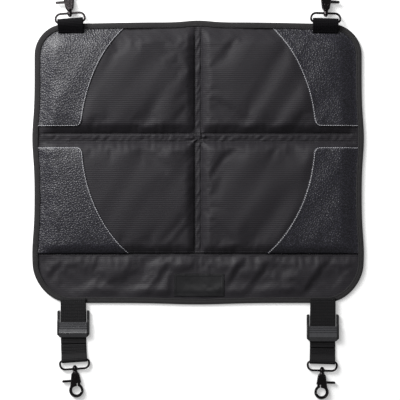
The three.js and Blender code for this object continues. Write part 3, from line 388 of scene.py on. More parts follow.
@dataclass(frozen=True)
class MouldedAcetal(Finish):
    """Injection-moulded acetal: glossy black frame, crossbars tinted paler as a painted highlight, faint
    flow marks.
    """

    bar_middle: float = 0.0
    bar_half: float = 0.0
    bar_edge: float = 0.8 * MM

    def dress(self, surface: Surface) -> None:
        """Painted highlight on the crossbars between the frame's sides, flow marks in the gloss, and a very
        fine texture.

        Args:
            surface: Node tree, shader and coordinates of the finish's material.
        """
        flow = surface.clouds(size=9 * MM, detail=3, stretch=(1, 2.5, 1))
        grit = surface.clouds(size=0.5 * MM, detail=2)
        tree = surface.tree
        across = add_node(tree, "ShaderNodeSeparateXYZ", {0: surface.place}).outputs["X"]
        aside = add_node(tree, "ShaderNodeMath", {0: across}, operation="ABSOLUTE").outputs[0]
        offset = add_node(tree, "ShaderNodeMath", {0: aside, 1: self.bar_middle},
                          operation="SUBTRACT").outputs[0]
        reach = add_node(tree, "ShaderNodeMath", {0: offset}, operation="ABSOLUTE").outputs[0]
        # Mask of the crossbars, which are tinted paler: a painted highlight that stands for the lamp's
        # reflection on them.
        painted_bar_highlight = add_node(tree, "ShaderNodeMapRange", {
            "Value": reach, "From Min": self.bar_half, "From Max": self.bar_half + self.bar_edge,
            "To Min": 1.0, "To Max": 0.0}).outputs[0]
        # Colour mixes the real flow marks with the painted highlight on the crossbars.
        flow_and_highlight = add_node(tree, "ShaderNodeMix", {"Factor": 0.85, 2: flow, 3: painted_bar_highlight}).outputs[0]
        surface.tint(self.colour, flow_and_highlight, dark=0.4, light=2.2)
        surface.roughen(flow, self.roughness - 0.07, self.roughness + 0.07)
        surface.relief((grit, 0.02 * MM))


@dataclass(frozen=True)
class BlackNickel(Finish):
    """Zinc die casting, tumbled and plated with black nickel: dark mirror with softened casting skin."""

    def dress(self, surface: Surface) -> None:
        """Slight waviness of the tumbled casting, and rub marks in the plating.

        Args:
            surface: Node tree, shader and coordinates of the finish's material.
        """
        skin = surface.clouds(size=1.5 * MM, detail=3)
        rubbed = surface.clouds(size=5 * MM, detail=3)
        surface.tint(self.colour, rubbed, dark=0.75, light=1.3)
        surface.roughen(rubbed, self.roughness - 0.08, self.roughness + 0.08)
        surface.relief((skin, 0.05 * MM))


@dataclass(frozen=True)
class OpenFoam(Finish):
    """Cut polyurethane foam: matt, with open cells."""

    cell: float = 1.2 * MM

    def dress(self, surface: Surface) -> None:
        """Open cells as small pits.

        Args:
            surface: Node tree, shader and coordinates of the finish's material.
        """
        pits = add_node(surface.tree, "ShaderNodeTexVoronoi", {
            "Vector": surface.place, "Scale": 1 / self.cell}).outputs["Distance"]
        surface.tint(self.colour, pits, dark=0.7, light=1.15)
        surface.relief((pits, 0.4 * MM))


@dataclass(frozen=True)
class DottedBacking(Finish):
    """Knitted backing with printed rubber dots: dull cloth that grips the seat by small raised dots."""

    dot_pitch: float = 5 * MM

    def dress(self, surface: Surface) -> None:
        """Even rows of dots over a fine knit.

        Args:
            surface: Node tree, shader and coordinates of the finish's material.
        """
        dots = add_node(surface.tree, "ShaderNodeTexVoronoi", {
            "Vector": surface.place, "Scale": 1 / self.dot_pitch, "Randomness": 0.0},
            voronoi_dimensions="2D").outputs["Distance"]
        raised = add_node(surface.tree, "ShaderNodeMapRange", {
            "Value": dots, "From Min": 0.22, "From Max": 0.3, "To Min": 1.0, "To Max": 0.0}).outputs[0]
        knit = surface.clouds(size=0.9 * MM, detail=3, stretch=(1, 3, 1))
        surface.tint(self.colour, raised, dark=1.0, light=0.55)
        surface.relief((raised, 0.35 * MM), (knit, 0.2 * MM))


@dataclass(frozen=True)
class SewingThread(Finish):
    """Bonded polyester sewing thread: two twisted plies with a slight gloss."""

    def dress(self, surface: Surface) -> None:
        """Twist of the plies as a fine light and dark change.

        Args:
            surface: Node tree, shader and coordinates of the finish's material.
        """
        twist = surface.clouds(size=0.7 * MM, detail=2)
        surface.tint(self.colour, twist, dark=0.75, light=1.2)
        surface.relief((twist, 0.1 * MM))


PANEL_CLOTH = RibbedPolyester("ribbed_polyester_panel", "#201e22", 0.6, specular=0.24, sheen=0.02)
FLAP_CLOTH = RibbedPolyester("ribbed_polyester_flap", "#211f23", 0.56, specular=0.26, sheen=0.02,
                             rib_height=0.06 * MM)
EDGE_TAPE = WovenTape("woven_edge_tape", "#232223", 0.75, specular=0.3, along=Along.STRAP,
                      rib_pitch=1.8 * MM, cord_pitch=2.4 * MM, rib_height=0.15 * MM)
# Darker copy of the strap webbing for the top loops: painted shade, for loops that stand up and lean away
# from the lamp.
SHADED_LOOP_WEBBING = WovenTape("webbing_painted_shade", "#08070a", 0.75, specular=0.12, along=Along.STRAP)
WEBBING = WovenTape("woven_webbing", "#0e0d0f", 0.7, specular=0.22, along=Along.STRAP)
LEATHER = PebbledLeather("pebbled_leather", "#25242c", 0.3, specular=0.47)
LABEL_SATIN = SatinRibbon("black_satin", "#111113", 0.45, specular=0.4)
# Lock plastic, with a painted highlight on its crossbars, placed by the lock's own box.
LOCK_LOW, LOCK_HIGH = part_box("ladder_lock_right")
LOCK_PLASTIC = MouldedAcetal("moulded_black_acetal", "#262628", 0.28, specular=0.85,
                             bar_middle=(LOCK_LOW[0] + LOCK_HIGH[0]) / 2,
                             bar_half=(LOCK_HIGH[0] - LOCK_LOW[0]) / 2 - 4 * MM)
CAST_METAL = BlackNickel("black_nickel_casting", "#322f30", 0.26, metallic=1.0)
SPRING_STEEL = BlackNickel("spring_steel_wire", "#a8a8ac", 0.3, metallic=1.0)
PAD_FOAM = OpenFoam("open_foam", "#8f9094", 0.9, specular=0.2)
BACKING = DottedBacking("dotted_backing", "#2c2c2e", 0.85, specular=0.2)
PALE_THREAD = SewingThread("pale_thread", "#b4b4b8", 0.5, specular=0.4)
DARK_THREAD = SewingThread("dark_thread", "#19191b", 0.6, specular=0.3)


# Mesh tools


def linked(bm: bmesh.types.BMesh, name: str) -> bpy.types.Object:
    """Turns a bmesh into an object of the scene and frees it.

    Args:
        bm: Mesh to turn.
        name: Name of the object and of its mesh.

    Returns:
        The new object.
    """
    mesh = bpy.data.meshes.new(name)
    bm.to_mesh(mesh)
    bm.free()
    made = bpy.data.objects.new(name, mesh)
    bpy.context.scene.collection.objects.link(made)
    return made


def to_object(bm: bmesh.types.BMesh, name: str, finish: Finish) -> bpy.types.Object:
    """Turns a bmesh into a finished piece that rides on the mat, as all soft pieces do.

    Args:
        bm: Mesh in the frame, freed here.
        name: Name of the piece.
        finish: Its finish.

    Returns:
        The new object, at the origin, unturned and unscaled.
    """
    made = linked(bm, name)
    mesh = made.data
    mesh.polygons.foreach_set("use_smooth", [True] * len(mesh.polygons))
    mesh.materials.append(finish.material())
    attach(made, "mat")
    log.info("%s: %d faces", name, len(mesh.polygons))
    return made


def solidify(piece: bpy.types.Object, thickness: float) -> None:
    """Gives a sheet its thickness, downwards from its top.

    Args:
        piece: Sheet without thickness.
        thickness: Distance from its top to its underside.
    """
    modifier = piece.modifiers.new("thickness", "SOLIDIFY")
    modifier.thickness = thickness
    modifier.offset = -1.0
    modifier.use_rim = True


def steps(length: float, fine: Sequence[float], pitch: float) -> list[float]:
    """Shares of a length with fine steps near its start and even ones after.

    Args:
        length: Real length.
        fine: Real places near the start, the first at 0.
        pitch: Real step wanted beyond them.

    Returns:
        Shares from 0 to 1.
    """
    rest = max(2, round((length - fine[-1]) / pitch))
    even = [mix(fine[-1], length, i / rest) for i in range(1, rest + 1)]
    return [value / length for value in [*fine, *even]]


def fine_lines(low: float, high: float, seams: Sequence[float], fine: float, coarse: float) -> list[float]:
    """Places of grid lines, close together near seams and wider apart between them.

    Args:
        low: First place.
        high: Last place.
        seams: Places that need fine lines.
        fine: Least distance between two lines.
        coarse: Greatest distance.

    Returns:
        Places from low to high.
    """
    found = [low]
    while found[-1] < high:
        nearest = min(abs(found[-1] + fine - seam) for seam in seams)
        found.append(found[-1] + mix(fine, coarse, smooth(nearest, 1.5 * fine, 5 * coarse)))
    share = (high - low) / (found[-1] - low)
    return [low + (value - low) * share for value in found]


def mapped_grid(
    across: Sequence[float], up: Sequence[float], place: Callable[[float, float], Vector]
) -> bmesh.types.BMesh:
    """Grid whose corners are put in place by the values of their column and row.

    Args:
        across: Values of the grid's columns, such as places or shares.
        up: Values of its rows.
        place: Gives a corner's place for its column's and its row's value.

    Returns:
        The grid, its faces up.
    """
    bm = bmesh.new()
    bmesh.ops.create_grid(bm, x_segments=len(across) - 1, y_segments=len(up) - 1, size=0.5)
    for vert in bm.verts:
        column = round((vert.co.x + 0.5) * (len(across) - 1))
        row = round((vert.co.y + 0.5) * (len(up) - 1))
        vert.co = place(across[column], up[row])
    bmesh.ops.recalc_face_normals(bm, faces=bm.faces)
    if sum(face.normal.z for face in bm.faces) < 0:
        bmesh.ops.reverse_faces(bm, faces=bm.faces)
    return bm


def sweep(
    rings: Sequence[Sequence[Vector]], marks: Sequence[Sequence[Point]], closed: bool
) -> bmesh.types.BMesh:
    """Extrudes a closed section from ring to ring.

    Args:
        rings: Places of the section's corners at each step.
        marks: For each corner its distance around the section and along the sweep.
        closed: Whether the last ring lies on the first and joins it. An open sweep is capped.

    Returns:
        A closed skin with the marks in the strap attribute.
    """
    bm = bmesh.new()
    layer = bm.verts.layers.float_vector.new(STRAP_ATTRIBUTE)
    first = [bm.verts.new(corner) for corner in rings[0]]
    for vert, mark in zip(first, marks[0]):
        vert[layer] = (*mark, 0.0)
    edges = [bm.edges.new((vert, first[(i + 1) % len(first)])) for i, vert in enumerate(first)]
    verts = first
    for ring, mark_row in zip(rings[1:], marks[1:]):
        made = bmesh.ops.extrude_edge_only(bm, edges=edges)["geom"]
        fresh = {item for item in made if isinstance(item, bmesh.types.BMVert)}
        verts = [next(e.other_vert(v) for e in v.link_edges if e.other_vert(v) in fresh) for v in verts]
        edges = [item for item in made if isinstance(item, bmesh.types.BMEdge)
                 and item.verts[0] in fresh and item.verts[1] in fresh]
        for vert, corner, mark in zip(verts, ring, mark_row):
            vert.co = corner
            vert[layer] = (*mark, 0.0)
    if closed:
        bmesh.ops.remove_doubles(bm, verts=[*first, *verts], dist=0.01 * MM)
    else:
        bmesh.ops.contextual_create(bm, geom=first)
        bmesh.ops.contextual_create(bm, geom=verts)
    bmesh.ops.recalc_face_normals(bm, faces=bm.faces)
    return bm


def corner_name(upper: bool, side: int) -> str:
    """Upper or lower, left or right, as the frame names its corners."""
    return f"{'upper' if upper else 'lower'}_{'left' if side < 0 else 'right'}"


def lengths_along(points: Sequence[Vector]) -> list[float]:
    """Distance of each point of a line from its first, along the line.

    Args:
        points: Points of the line in order.

    Returns:
        A distance for each point, the first one 0.
    """
    total = [0.0]
    for before, after in zip(points, points[1:]):
        total.append(total[-1] + (after - before).length)
    return total


def evenly(points: Sequence[Vector], pitch: float) -> list[Vector]:
    """Points at an even pitch along a line.

    Args:
        points: The line's own points.
        pitch: Real distance wanted between two points.

    Returns:
        New points, the ends kept.
    """
    total = lengths_along(points)
    count = max(1, round(total[-1] / pitch))
    found: list[Vector] = []
    at = 0
    for i in range(count + 1):
        want = total[-1] * i / count
        while at < len(total) - 2 and total[at + 1] < want:
            at += 1
        span = total[at + 1] - total[at]
        share = (want - total[at]) / span if span > 0 else 0.0
        found.append(points[at].lerp(points[at + 1], share))
    return found


@dataclass(frozen=True)
class Stitching:
    """Row of lockstitches: short plump threads, each a little sunk into the cloth."""

    finish: SewingThread
    pitch: float = 3.4 * MM
    length: float = 2.9 * MM
    radius: float = 0.42 * MM

    def sew(self, name: str, routes: Iterable[Sequence[Vector]]) -> None:
        """Lays stitches along some routes on the cloth's surface, as one piece.

        Args:
            name: Name of the piece.
            routes: Lines on the cloth's surface.
        """
        bm = bmesh.new()
        single = bmesh.new()
        bmesh.ops.create_uvsphere(single, u_segments=8, v_segments=5, radius=1.0)
        pattern = bpy.data.meshes.new("single_stitch")
        single.to_mesh(pattern)
        single.free()
        for route in routes:
            points = evenly(route, self.pitch)
            for before, after in zip(points, points[1:]):
                along = after - before
                if along.length < self.radius:
                    continue
                turn = along.to_track_quat("Z", "Y").to_matrix().to_4x4()
                size = Matrix.Diagonal((self.radius, self.radius, self.length / 2, 1.0))
                placed = pattern.copy()
                placed.transform(Matrix.Translation((before + after) / 2) @ turn @ size)
                bm.from_mesh(placed)
                bpy.data.meshes.remove(placed)
        bpy.data.meshes.remove(pattern)
        to_object(bm, name, self.finish)


PATCH_STITCH = Stitching(PALE_THREAD, length=3.1 * MM, radius=0.48 * MM)
QUILT_STITCH = Stitching(DARK_THREAD, pitch=3.6 * MM, radius=0.38 * MM)
TAPE_STITCH = Stitching(DARK_THREAD, pitch=3.2 * MM, length=2.6 * MM, radius=0.36 * MM)


# The mat


@dataclass(frozen=True)
class Ridge:
    """Bell-shaped rise or sink beside a line: how high, how far from the line and how wide."""

    height: float
    offset: float
    half: float

    def at(self, distance: float) -> float:
        """Height at a distance from the line."""
        return self.height * bump(distance - self.offset, self.half)


@dataclass(frozen=True)
class Gathers:
    """Short gathers that run off a stitched line and fade away from it."""

    height: float
    reach: float
    seed: float
    wave: Point = (5.2 * MM, 22 * MM)
    swell: Point = (19 * MM, 30 * MM)
    swell_share: float = 0.8

    def at(self, across: float, along: float, turn: float = 0.0) -> float:
        """Height of the gathers.

        Args:
            across: Distance from the line.
            along: Place along the line.
            turn: Tells one stretch of the line from another.

        Returns:
            Height, within about one and a half of the gathers' own.
        """
        away, seed = abs(across), self.seed + turn
        wave = noise.noise(Vector((along / self.wave[0], away / self.wave[1], seed)))
        swell = noise.noise(Vector((along / self.swell[0], away / self.swell[1], seed + 7)))
        return self.height * (wave + self.swell_share * swell) * math.exp(-away / self.reach)


@dataclass(frozen=True)
class MatForm:
    """Outline and relief that all layers of the mat share."""

    # Outline
    half_width: float = 246 * MM
    half_height: float = 208 * MM
    top_radius: float = 45 * MM
    bottom_radius: float = 57 * MM
    corner_swell: float = 0.7
    side_swell: float = 3.4 * MM
    side_pinch: float = 1.2 * MM
    side_reach: float = 40 * MM
    top_arch: float = 4.5 * MM
    top_peak: float = 2.5 * MM
    top_peak_reach: float = 25 * MM
    bottom_swell: float = 2.2 * MM
    bottom_reach: float = 60 * MM
    binding_low: float = field(default_factory=lambda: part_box("edge_binding")[0].y)

    # Stitched lines, leather and label
    channel_half: float = 4.85 * MM
    channel_y: float = 38.5 * MM
    strip_over: float = 7.0 * MM
    strip_under: float = 5.5 * MM
    seam_y: float = -134.6 * MM
    seam_half: float = 1.5 * MM
    open_centre: float = 34.8 * MM
    open_upper: Point = (174.5 * MM, 217 * MM)
    open_lower: Point = (172.5 * MM, 208.5 * MM)
    leather_ease: Point = (-12 * MM, 10 * MM)
    label_middle: Point = (1.5 * MM, -181.1 * MM)
    label_size: Point = (75 * MM, 34 * MM)
    label_ease: float = 12 * MM

    # Border and binding
    border_flat: float = 7 * MM
    border_shoulder: float = 27 * MM
    border_fall: float = 28 * MM
    border_top: float = 3.1 * MM
    channel_top: float = 1.9 * MM
    lowest: float = 1.65 * MM
    lowest_ease: float = 0.25 * MM
    lip_tops: Point = (4.3 * MM, 5.6 * MM)
    lip_below: Point = (28 * MM, 60 * MM)
    lip_beside: Point = (45 * MM, 77 * MM)

    # Padded cells
    pad_rise: float = 8 * MM
    crown: float = 1.8 * MM
    shoulder: float = 14 * MM
    roundness: float = 0.35
    wide_shoulder: float = 15 * MM
    crest_round: float = 0.25
    leather_slack: float = 0.35
    wrinkle_slope: float = 0.59
    ripple_size: Point = (30 * MM, 120 * MM)
    ripples: Point = (2.6 * MM, 3.4 * MM)
    upright_gathers: Gathers = Gathers(0.9 * MM, 9 * MM, 1.3)
    level_gathers: Gathers = Gathers(1.2 * MM, 9 * MM, 4.1)
    seam_gathers: Gathers = Gathers(1.2 * MM, 10 * MM, 8.7)
    border_gathers: Gathers = Gathers(0.8 * MM, 12 * MM, 11.9)
    border_line: float = 8 * MM
    line_sink: Ridge = Ridge(1.0 * MM, 0.0, 1.2 * MM)
    sink_patch: float = 21 * MM
    sink_mean: float = 0.75
    sink_spread: float = 0.9
    upper_sink: Ridge = Ridge(-0.6 * MM, 0.0, 2.2 * MM)
    strip_edge: Point = (0.5 * MM, 3 * MM)
    strip_fold_size: Point = (3.4 * MM, 12 * MM)
    strip_fold: float = 1.3 * MM
    strip_rise: float = 0.45 * MM
    strip_tilt: float = 0.12
    seam_ridge: Ridge = Ridge(0.7 * MM, 0.9 * MM, 1.1 * MM)
    pinch_ring: Ridge = Ridge(4.2 * MM, 8 * MM, 7 * MM)
    pinch_folds: float = 2.6
    button_sink: Ridge = Ridge(-0.8 * MM, 0.0, 4 * MM)

    # Lower flap
    flap_rise: float = 1.8 * MM
    flap_shoulder: float = 16 * MM
    flap_ripple: float = 5 * MM
    flap_stretch: float = 0.7
    flap_folds: tuple[tuple[float, float], ...] = (
        (-208 * MM, 1.6 * MM), (-128 * MM, 0.9 * MM), (-42 * MM, 3.0 * MM),
        (64 * MM, 4.4 * MM), (104 * MM, 2.6 * MM), (190 * MM, 3.2 * MM))
    fold_run: Point = (-42 * MM, 13 * MM)
    label_quiet: float = 0.25
    tuck_gathers: Gathers = Gathers(1.4 * MM, 18 * MM, 21.0)
    tuck_ease: float = 4 * MM
    flap_border_gathers: Gathers = Gathers(0.9 * MM, 14 * MM, 23.0)
    dimple: Ridge = Ridge(-1.8 * MM, 7 * MM, 7 * MM)
    dimple_across: Ridge = Ridge(1.0, -1 * MM, 4 * MM)

    # Lift from the cloth simulation
    settled: Height = lambda x, y: 0.0

    @property
    def middle_y(self) -> float:
        """Place of the mat's middle along the frame's Y."""
        return self.binding_low + self.half_height + self.bottom_swell

    @property
    def low_end(self) -> float:
        """Height of the mat's lowest point from its middle."""
        return -self.half_height - self.bottom_swell

    @property
    def high_end(self) -> float:
        """Height of the mat's highest point from its middle."""
        return self.half_height + self.top_arch + self.top_peak

    def place(self, x: float, y: float, z: float) -> Vector:
        """A point of the mat in the frame."""
        return Vector((x, y + self.middle_y, z))

    def radius(self, y: float) -> float:
        """Radius of the corners, on the upper or the lower side."""
        return self.top_radius if y > 0 else self.bottom_radius

    def swell(self, x: float, y: float, nx: float, ny: float) -> float:
        """How far the edge lies outside the plain rounded rectangle, where its normal is (nx, ny).

        Args:
            x: Place of the edge across the mat.
            y: Place of the edge along the mat.
            nx: The normal's part across the mat.
            ny: The normal's part along the mat.

        Returns:
            Distance outwards, negative inside.
        """
        beside = bump(y - self.channel_y, self.side_reach) + bump(y - self.seam_y, self.side_reach)
        side = self.side_swell * beside - self.side_pinch
        top = self.top_arch * (1 - (x / self.half_width) ** 2) + self.top_peak * bump(x, self.top_peak_reach)
        bottom = self.bottom_swell * bump(x, self.bottom_reach)
        return nx * nx * side + ny * ny * (top if ny > 0 else bottom)

    def edge_distance(self, x: float, y: float) -> float:
        """Distance from a point in to the mat's edge.

        Args:
            x: Place across the mat.
            y: Place along the mat.

        Returns:
            Distance to the edge, negative outside the mat.
        """
        radius = self.radius(y)
        px = abs(x) - (self.half_width - radius)
        py = abs(y) - (self.half_height - radius)
        out = math.hypot(max(px, 0), max(py, 0))
        distance = radius - out - min(max(px, py), 0)
        if px > 0 and py > 0:
            nx, ny = px / out, py / out
        else:
            nx, ny = float(px >= py), float(px < py)
        return distance + self.swell(x, y, nx, math.copysign(ny, y))

    def edge_x(self, y: float) -> float:
        """Half the mat's width at a height.

        Args:
            y: Place along the mat.

        Returns:
            Distance of the edge from the mat's middle line.
        """
        radius = self.radius(y)
        past = clamp(abs(y) - (self.half_height - radius), 0.0, radius)
        side = self.swell(self.half_width, y, 1 if past == 0 else self.corner_swell, 0)
        return self.half_width - radius + math.sqrt(radius ** 2 - past ** 2) + side

    def edge_y(self, x: float, side: int) -> float:
        """Height of the mat's edge at x, on the top side (1) or the bottom side (-1).

        Args:
            x: Place across the mat.
            side: 1 for the top side, -1 for the bottom side.

        Returns:
            Place of the edge along the mat.
        """
        radius = self.radius(side)
        past = clamp(abs(x) - (self.half_width - radius), 0.0, radius)
        drop = radius - math.sqrt(radius ** 2 - past ** 2)
        return side * (self.half_height - drop + self.swell(x, 0, 0, side))

    def stations(self, pitch: float) -> list[tuple[float, float, float, float]]:
        """Points along the plain outline, anticlockwise, with their outward normals, the first repeated.

        Args:
            pitch: Wanted distance between neighbours.

        Returns:
            Each point's x and y and its normal's x and y.
        """
        found: list[tuple[float, float, float, float]] = []
        corners = [(1, -1, -0.5 * math.pi), (1, 1, 0.0), (-1, 1, 0.5 * math.pi), (-1, -1, math.pi)]

        def corner_point(sx: int, sy: int, angle: float) -> tuple[float, float, float, float]:
            """Point of the rounded corner on the sides (sx, sy), and its normal.

            Args:
                sx: 1 on the right side, -1 on the left.
                sy: 1 at the top, -1 at the bottom.
                angle: Direction of the normal.

            Returns:
                The point's x and y and its normal's x and y.
            """
            radius, nx, ny = self.radius(sy), math.cos(angle), math.sin(angle)
            return (sx * (self.half_width - radius) + radius * nx,
                    sy * (self.half_height - radius) + radius * ny, nx, ny)

        for i, (sx, sy, start) in enumerate(corners):
            bends = round(self.radius(sy) * math.pi / 2 / pitch)
            found += [corner_point(sx, sy, start + k / bends * math.pi / 2) for k in range(bends + 1)]
            end = corner_point(*corners[(i + 1) % 4])
            x, y = found[-1][:2]
            count = round(math.hypot(end[0] - x, end[1] - y) / pitch)
            found += [(mix(x, end[0], k / count), mix(y, end[1], k / count), *end[2:])
                      for k in range(1, count)]
        return [*found, found[0]]

    def edge_point(self, station: tuple[float, float, float, float], inset: float, z: float) -> Vector:
        """Point in the frame at an inset from the real edge.

        Args:
            station: Point of the plain outline with its normal.
            inset: Distance inwards from the edge.
            z: Height of the point.

        Returns:
            The point.
        """
        x, y, nx, ny = station
        out = self.swell(x, y, nx, ny) - inset
        return self.place(x + nx * out, y + ny * out, z)

    def open_half(self, y: float) -> float:
        """Half width of the oval between the leather patches, at a height of the mat."""
        half_x, half_y = self.open_upper if y > self.channel_y else self.open_lower
        return half_x * math.sqrt(max(0.0, 1 - ((y - self.open_centre) / half_y) ** 2))

    def under_leather(self, x: float, y: float) -> float:
        """1 well under the leather patches, 0 in the open cloth."""
        return smooth(abs(x) - self.open_half(y), *self.leather_ease)

    def near_label(self, x: float, y: float) -> float:
        """1 under the label on the lower flap, fading to 0 around it.

        Args:
            x: Place across the mat.
            y: Place along the mat.

        Returns:
            Factor from 0 to 1.
        """
        dx = abs(x - self.label_middle[0]) - self.label_size[0] / 2
        dy = abs(y - self.label_middle[1]) - self.label_size[1] / 2
        return 1 - smooth(max(dx, dy), 0, self.label_ease)

    def resting(self, x: float, y: float) -> float:
        """Top of the front cloth where nothing pads it."""
        inner = self.edge_distance(x, y) - self.border_flat
        return mix(self.border_top, self.channel_top, smooth(inner, 0, self.border_fall))

    def beside_level(self, y: float) -> float:
        """Distance of a height from the level strip's nearer line, negative on the strip."""
        above = y - self.channel_y
        return above - self.strip_over if above > 0 else -above - self.strip_under

    def puff(self, distance: float) -> float:
        """Shoulder of a padded cell beside a stitched line, from 0 at its foot to 1 at its crest."""
        t = clamp(distance / self.shoulder)
        return mix(math.sin(t * math.pi / 2), rolled(t), self.roundness)

    def slope_off(self, distance: float) -> float:
        """Even slope of the upper pads towards the level channel, rounded only at its crest."""
        t = clamp(distance / self.wide_shoulder)
        return t * (1 + self.crest_round - self.crest_round * t ** 4)

    def slanting(self, x: float, y: float, size: Point, seed: float) -> float:
        """Soft folds of the cloth that run up to the right, of a width and a length.

        Args:
            x: Place across the mat.
            y: Place along the mat.
            size: Width and length of one fold.
            seed: Number that parts these folds from others.

        Returns:
            Height from about -1 to 1.
        """
        a = self.wrinkle_slope
        across = x * math.cos(a) - y * math.sin(a)
        along = x * math.sin(a) + y * math.cos(a)
        return noise.noise(Vector((across / size[0], along / size[1], seed)))

    def cell_rise(self, x: float, y: float) -> float:
        """How far the padding holds the cloth up in the middle of a cell.

        Args:
            x: Place across the mat.
            y: Place along the mat.

        Returns:
            Height over the cloth's resting place.
        """
        upper, lower = (self.channel_y, self.half_height), (self.seam_y, self.channel_y)
        low, high = upper if y > self.channel_y else lower
        cell = math.sin(math.pi * clamp((y - low) / (high - low)))
        return self.pad_rise + self.crown * math.sin(math.pi * clamp(abs(x) / self.half_width)) * cell

    def strip_relief(self, x: float, y: float) -> float:
        """Height of the tilted, finely folded cloth that is drawn in between two rows of stitches.

        Args:
            x: Place across the mat.
            y: Place along the mat.

        Returns:
            Height to add to the cloth.
        """
        tilted = x * (abs(x) < self.channel_half) + (y - self.channel_y) * (self.beside_level(y) < 0)
        return (self.strip_rise + self.strip_tilt * tilted
                + self.strip_fold * self.slanting(x, y, self.strip_fold_size, 5.5))

    def crossing_relief(self, x: float, y: float) -> float:
        """Pinched folds around the point where the channels cross.

        Args:
            x: Place across the mat.
            y: Place along the mat.

        Returns:
            Height to add to the cloth.
        """
        away = math.hypot(x, y - self.channel_y)
        turn = math.atan2(y - self.channel_y, x)
        ring = Vector((math.cos(turn), math.sin(turn), 0.0)) * self.pinch_folds
        pinch = noise.noise(ring + Vector((0.0, 0.0, 2.2)))
        return self.pinch_ring.at(away) * pinch + self.button_sink.at(away)

    def panel_top(self, x: float, y: float) -> float:
        """Top of the quilted front cloth over its padded cells.

        Args:
            x: Place across the mat.
            y: Place along the mat.

        Returns:
            Height of the cloth's top.
        """
        above, edge = y > self.channel_y, self.edge_distance(x, y)
        from_border = smooth(edge - self.border_flat, 0, self.border_shoulder)
        upright, level = abs(x) - self.channel_half, self.beside_level(y)
        seam = y - self.seam_y - self.seam_half
        swell = (from_border * self.puff(upright) * (self.slope_off(level) if above else self.puff(level))
                 * self.puff(seam))
        slack = mix(1.0, self.leather_slack, self.under_leather(x, y))
        ripple = self.ripples[x > 0] * self.slanting(x, y, self.ripple_size, 3.0 * (x > 0) + 5.0 * above)
        z = self.resting(x, y) + swell * (self.cell_rise(x, y) + (ripple + self.settled(x, y)) * slack)
        z += self.upright_gathers.at(upright, y, x > 0) + self.level_gathers.at(level, x, above)
        z += self.seam_gathers.at(seam, x) + self.border_gathers.at(edge - self.border_line, x + y)
        cloud = noise.noise(Vector((x / self.sink_patch, y / self.sink_patch, 9.1)))
        sunk = self.line_sink.at(upright) + self.line_sink.at(level)
        z -= (self.sink_mean + self.sink_spread * cloud) * sunk * from_border
        z += self.upper_sink.at(level) * above * from_border
        on_strip = smooth(-min(upright, level), *self.strip_edge) * from_border
        z += on_strip * self.strip_relief(x, y) + self.seam_ridge.at(seam) + self.crossing_relief(x, y)
        return kept_above(z, self.lowest, self.lowest_ease)

    def flap_top(self, x: float, y: float) -> float:
        """Top of the lower flap's cloth, with slanting wrinkles and gathers under the seam.

        Args:
            x: Place across the mat.
            y: Place along the mat.

        Returns:
            Height of the cloth's top.
        """
        edge, below = self.edge_distance(x, y), self.seam_y - self.seam_half - y
        free = smooth(edge - self.border_flat, 0, self.flap_shoulder) * smooth(below, 0, self.shoulder)
        quiet = mix(1.0, self.label_quiet, self.near_label(x, y))
        a = self.wrinkle_slope
        wrinkle = self.settled(x, y) + self.flap_ripple * self.slanting(
            self.flap_stretch * x, self.flap_stretch * y, self.ripple_size, 17.0)
        for crest, height in self.flap_folds:
            across = (x - crest) * math.cos(a) - (y - self.seam_y) * math.sin(a)
            wrinkle += height * (smooth(across, self.fold_run[0], 0) - smooth(across, 0, self.fold_run[1]))
        z = self.resting(x, y) + free * (self.flap_rise + wrinkle * quiet)
        z += self.tuck_gathers.at(below, x) * smooth(below, 0, self.tuck_ease) * quiet
        z += self.flap_border_gathers.at(edge - self.border_line, x + y)
        z += self.dimple.at(below) * self.dimple_across.at(x)
        return kept_above(z, self.lowest, self.lowest_ease)

    def cloth_top(self, x: float, y: float) -> float:
        """Top of the front cloth, panel or flap."""
        return self.panel_top(x, y) if y > self.seam_y else self.flap_top(x, y)

    def lip_top(self, x: float, y: float) -> float:
        """Top of the binding, which steps up where it holds leather.

        Args:
            x: Place across the mat.
            y: Place along the mat.

        Returns:
            Height of the binding's top.
        """
        below = 1 - smooth(self.seam_y - y, *self.lip_below)
        beside = smooth(abs(x), *self.lip_beside)
        return mix(*self.lip_tops, below * beside)


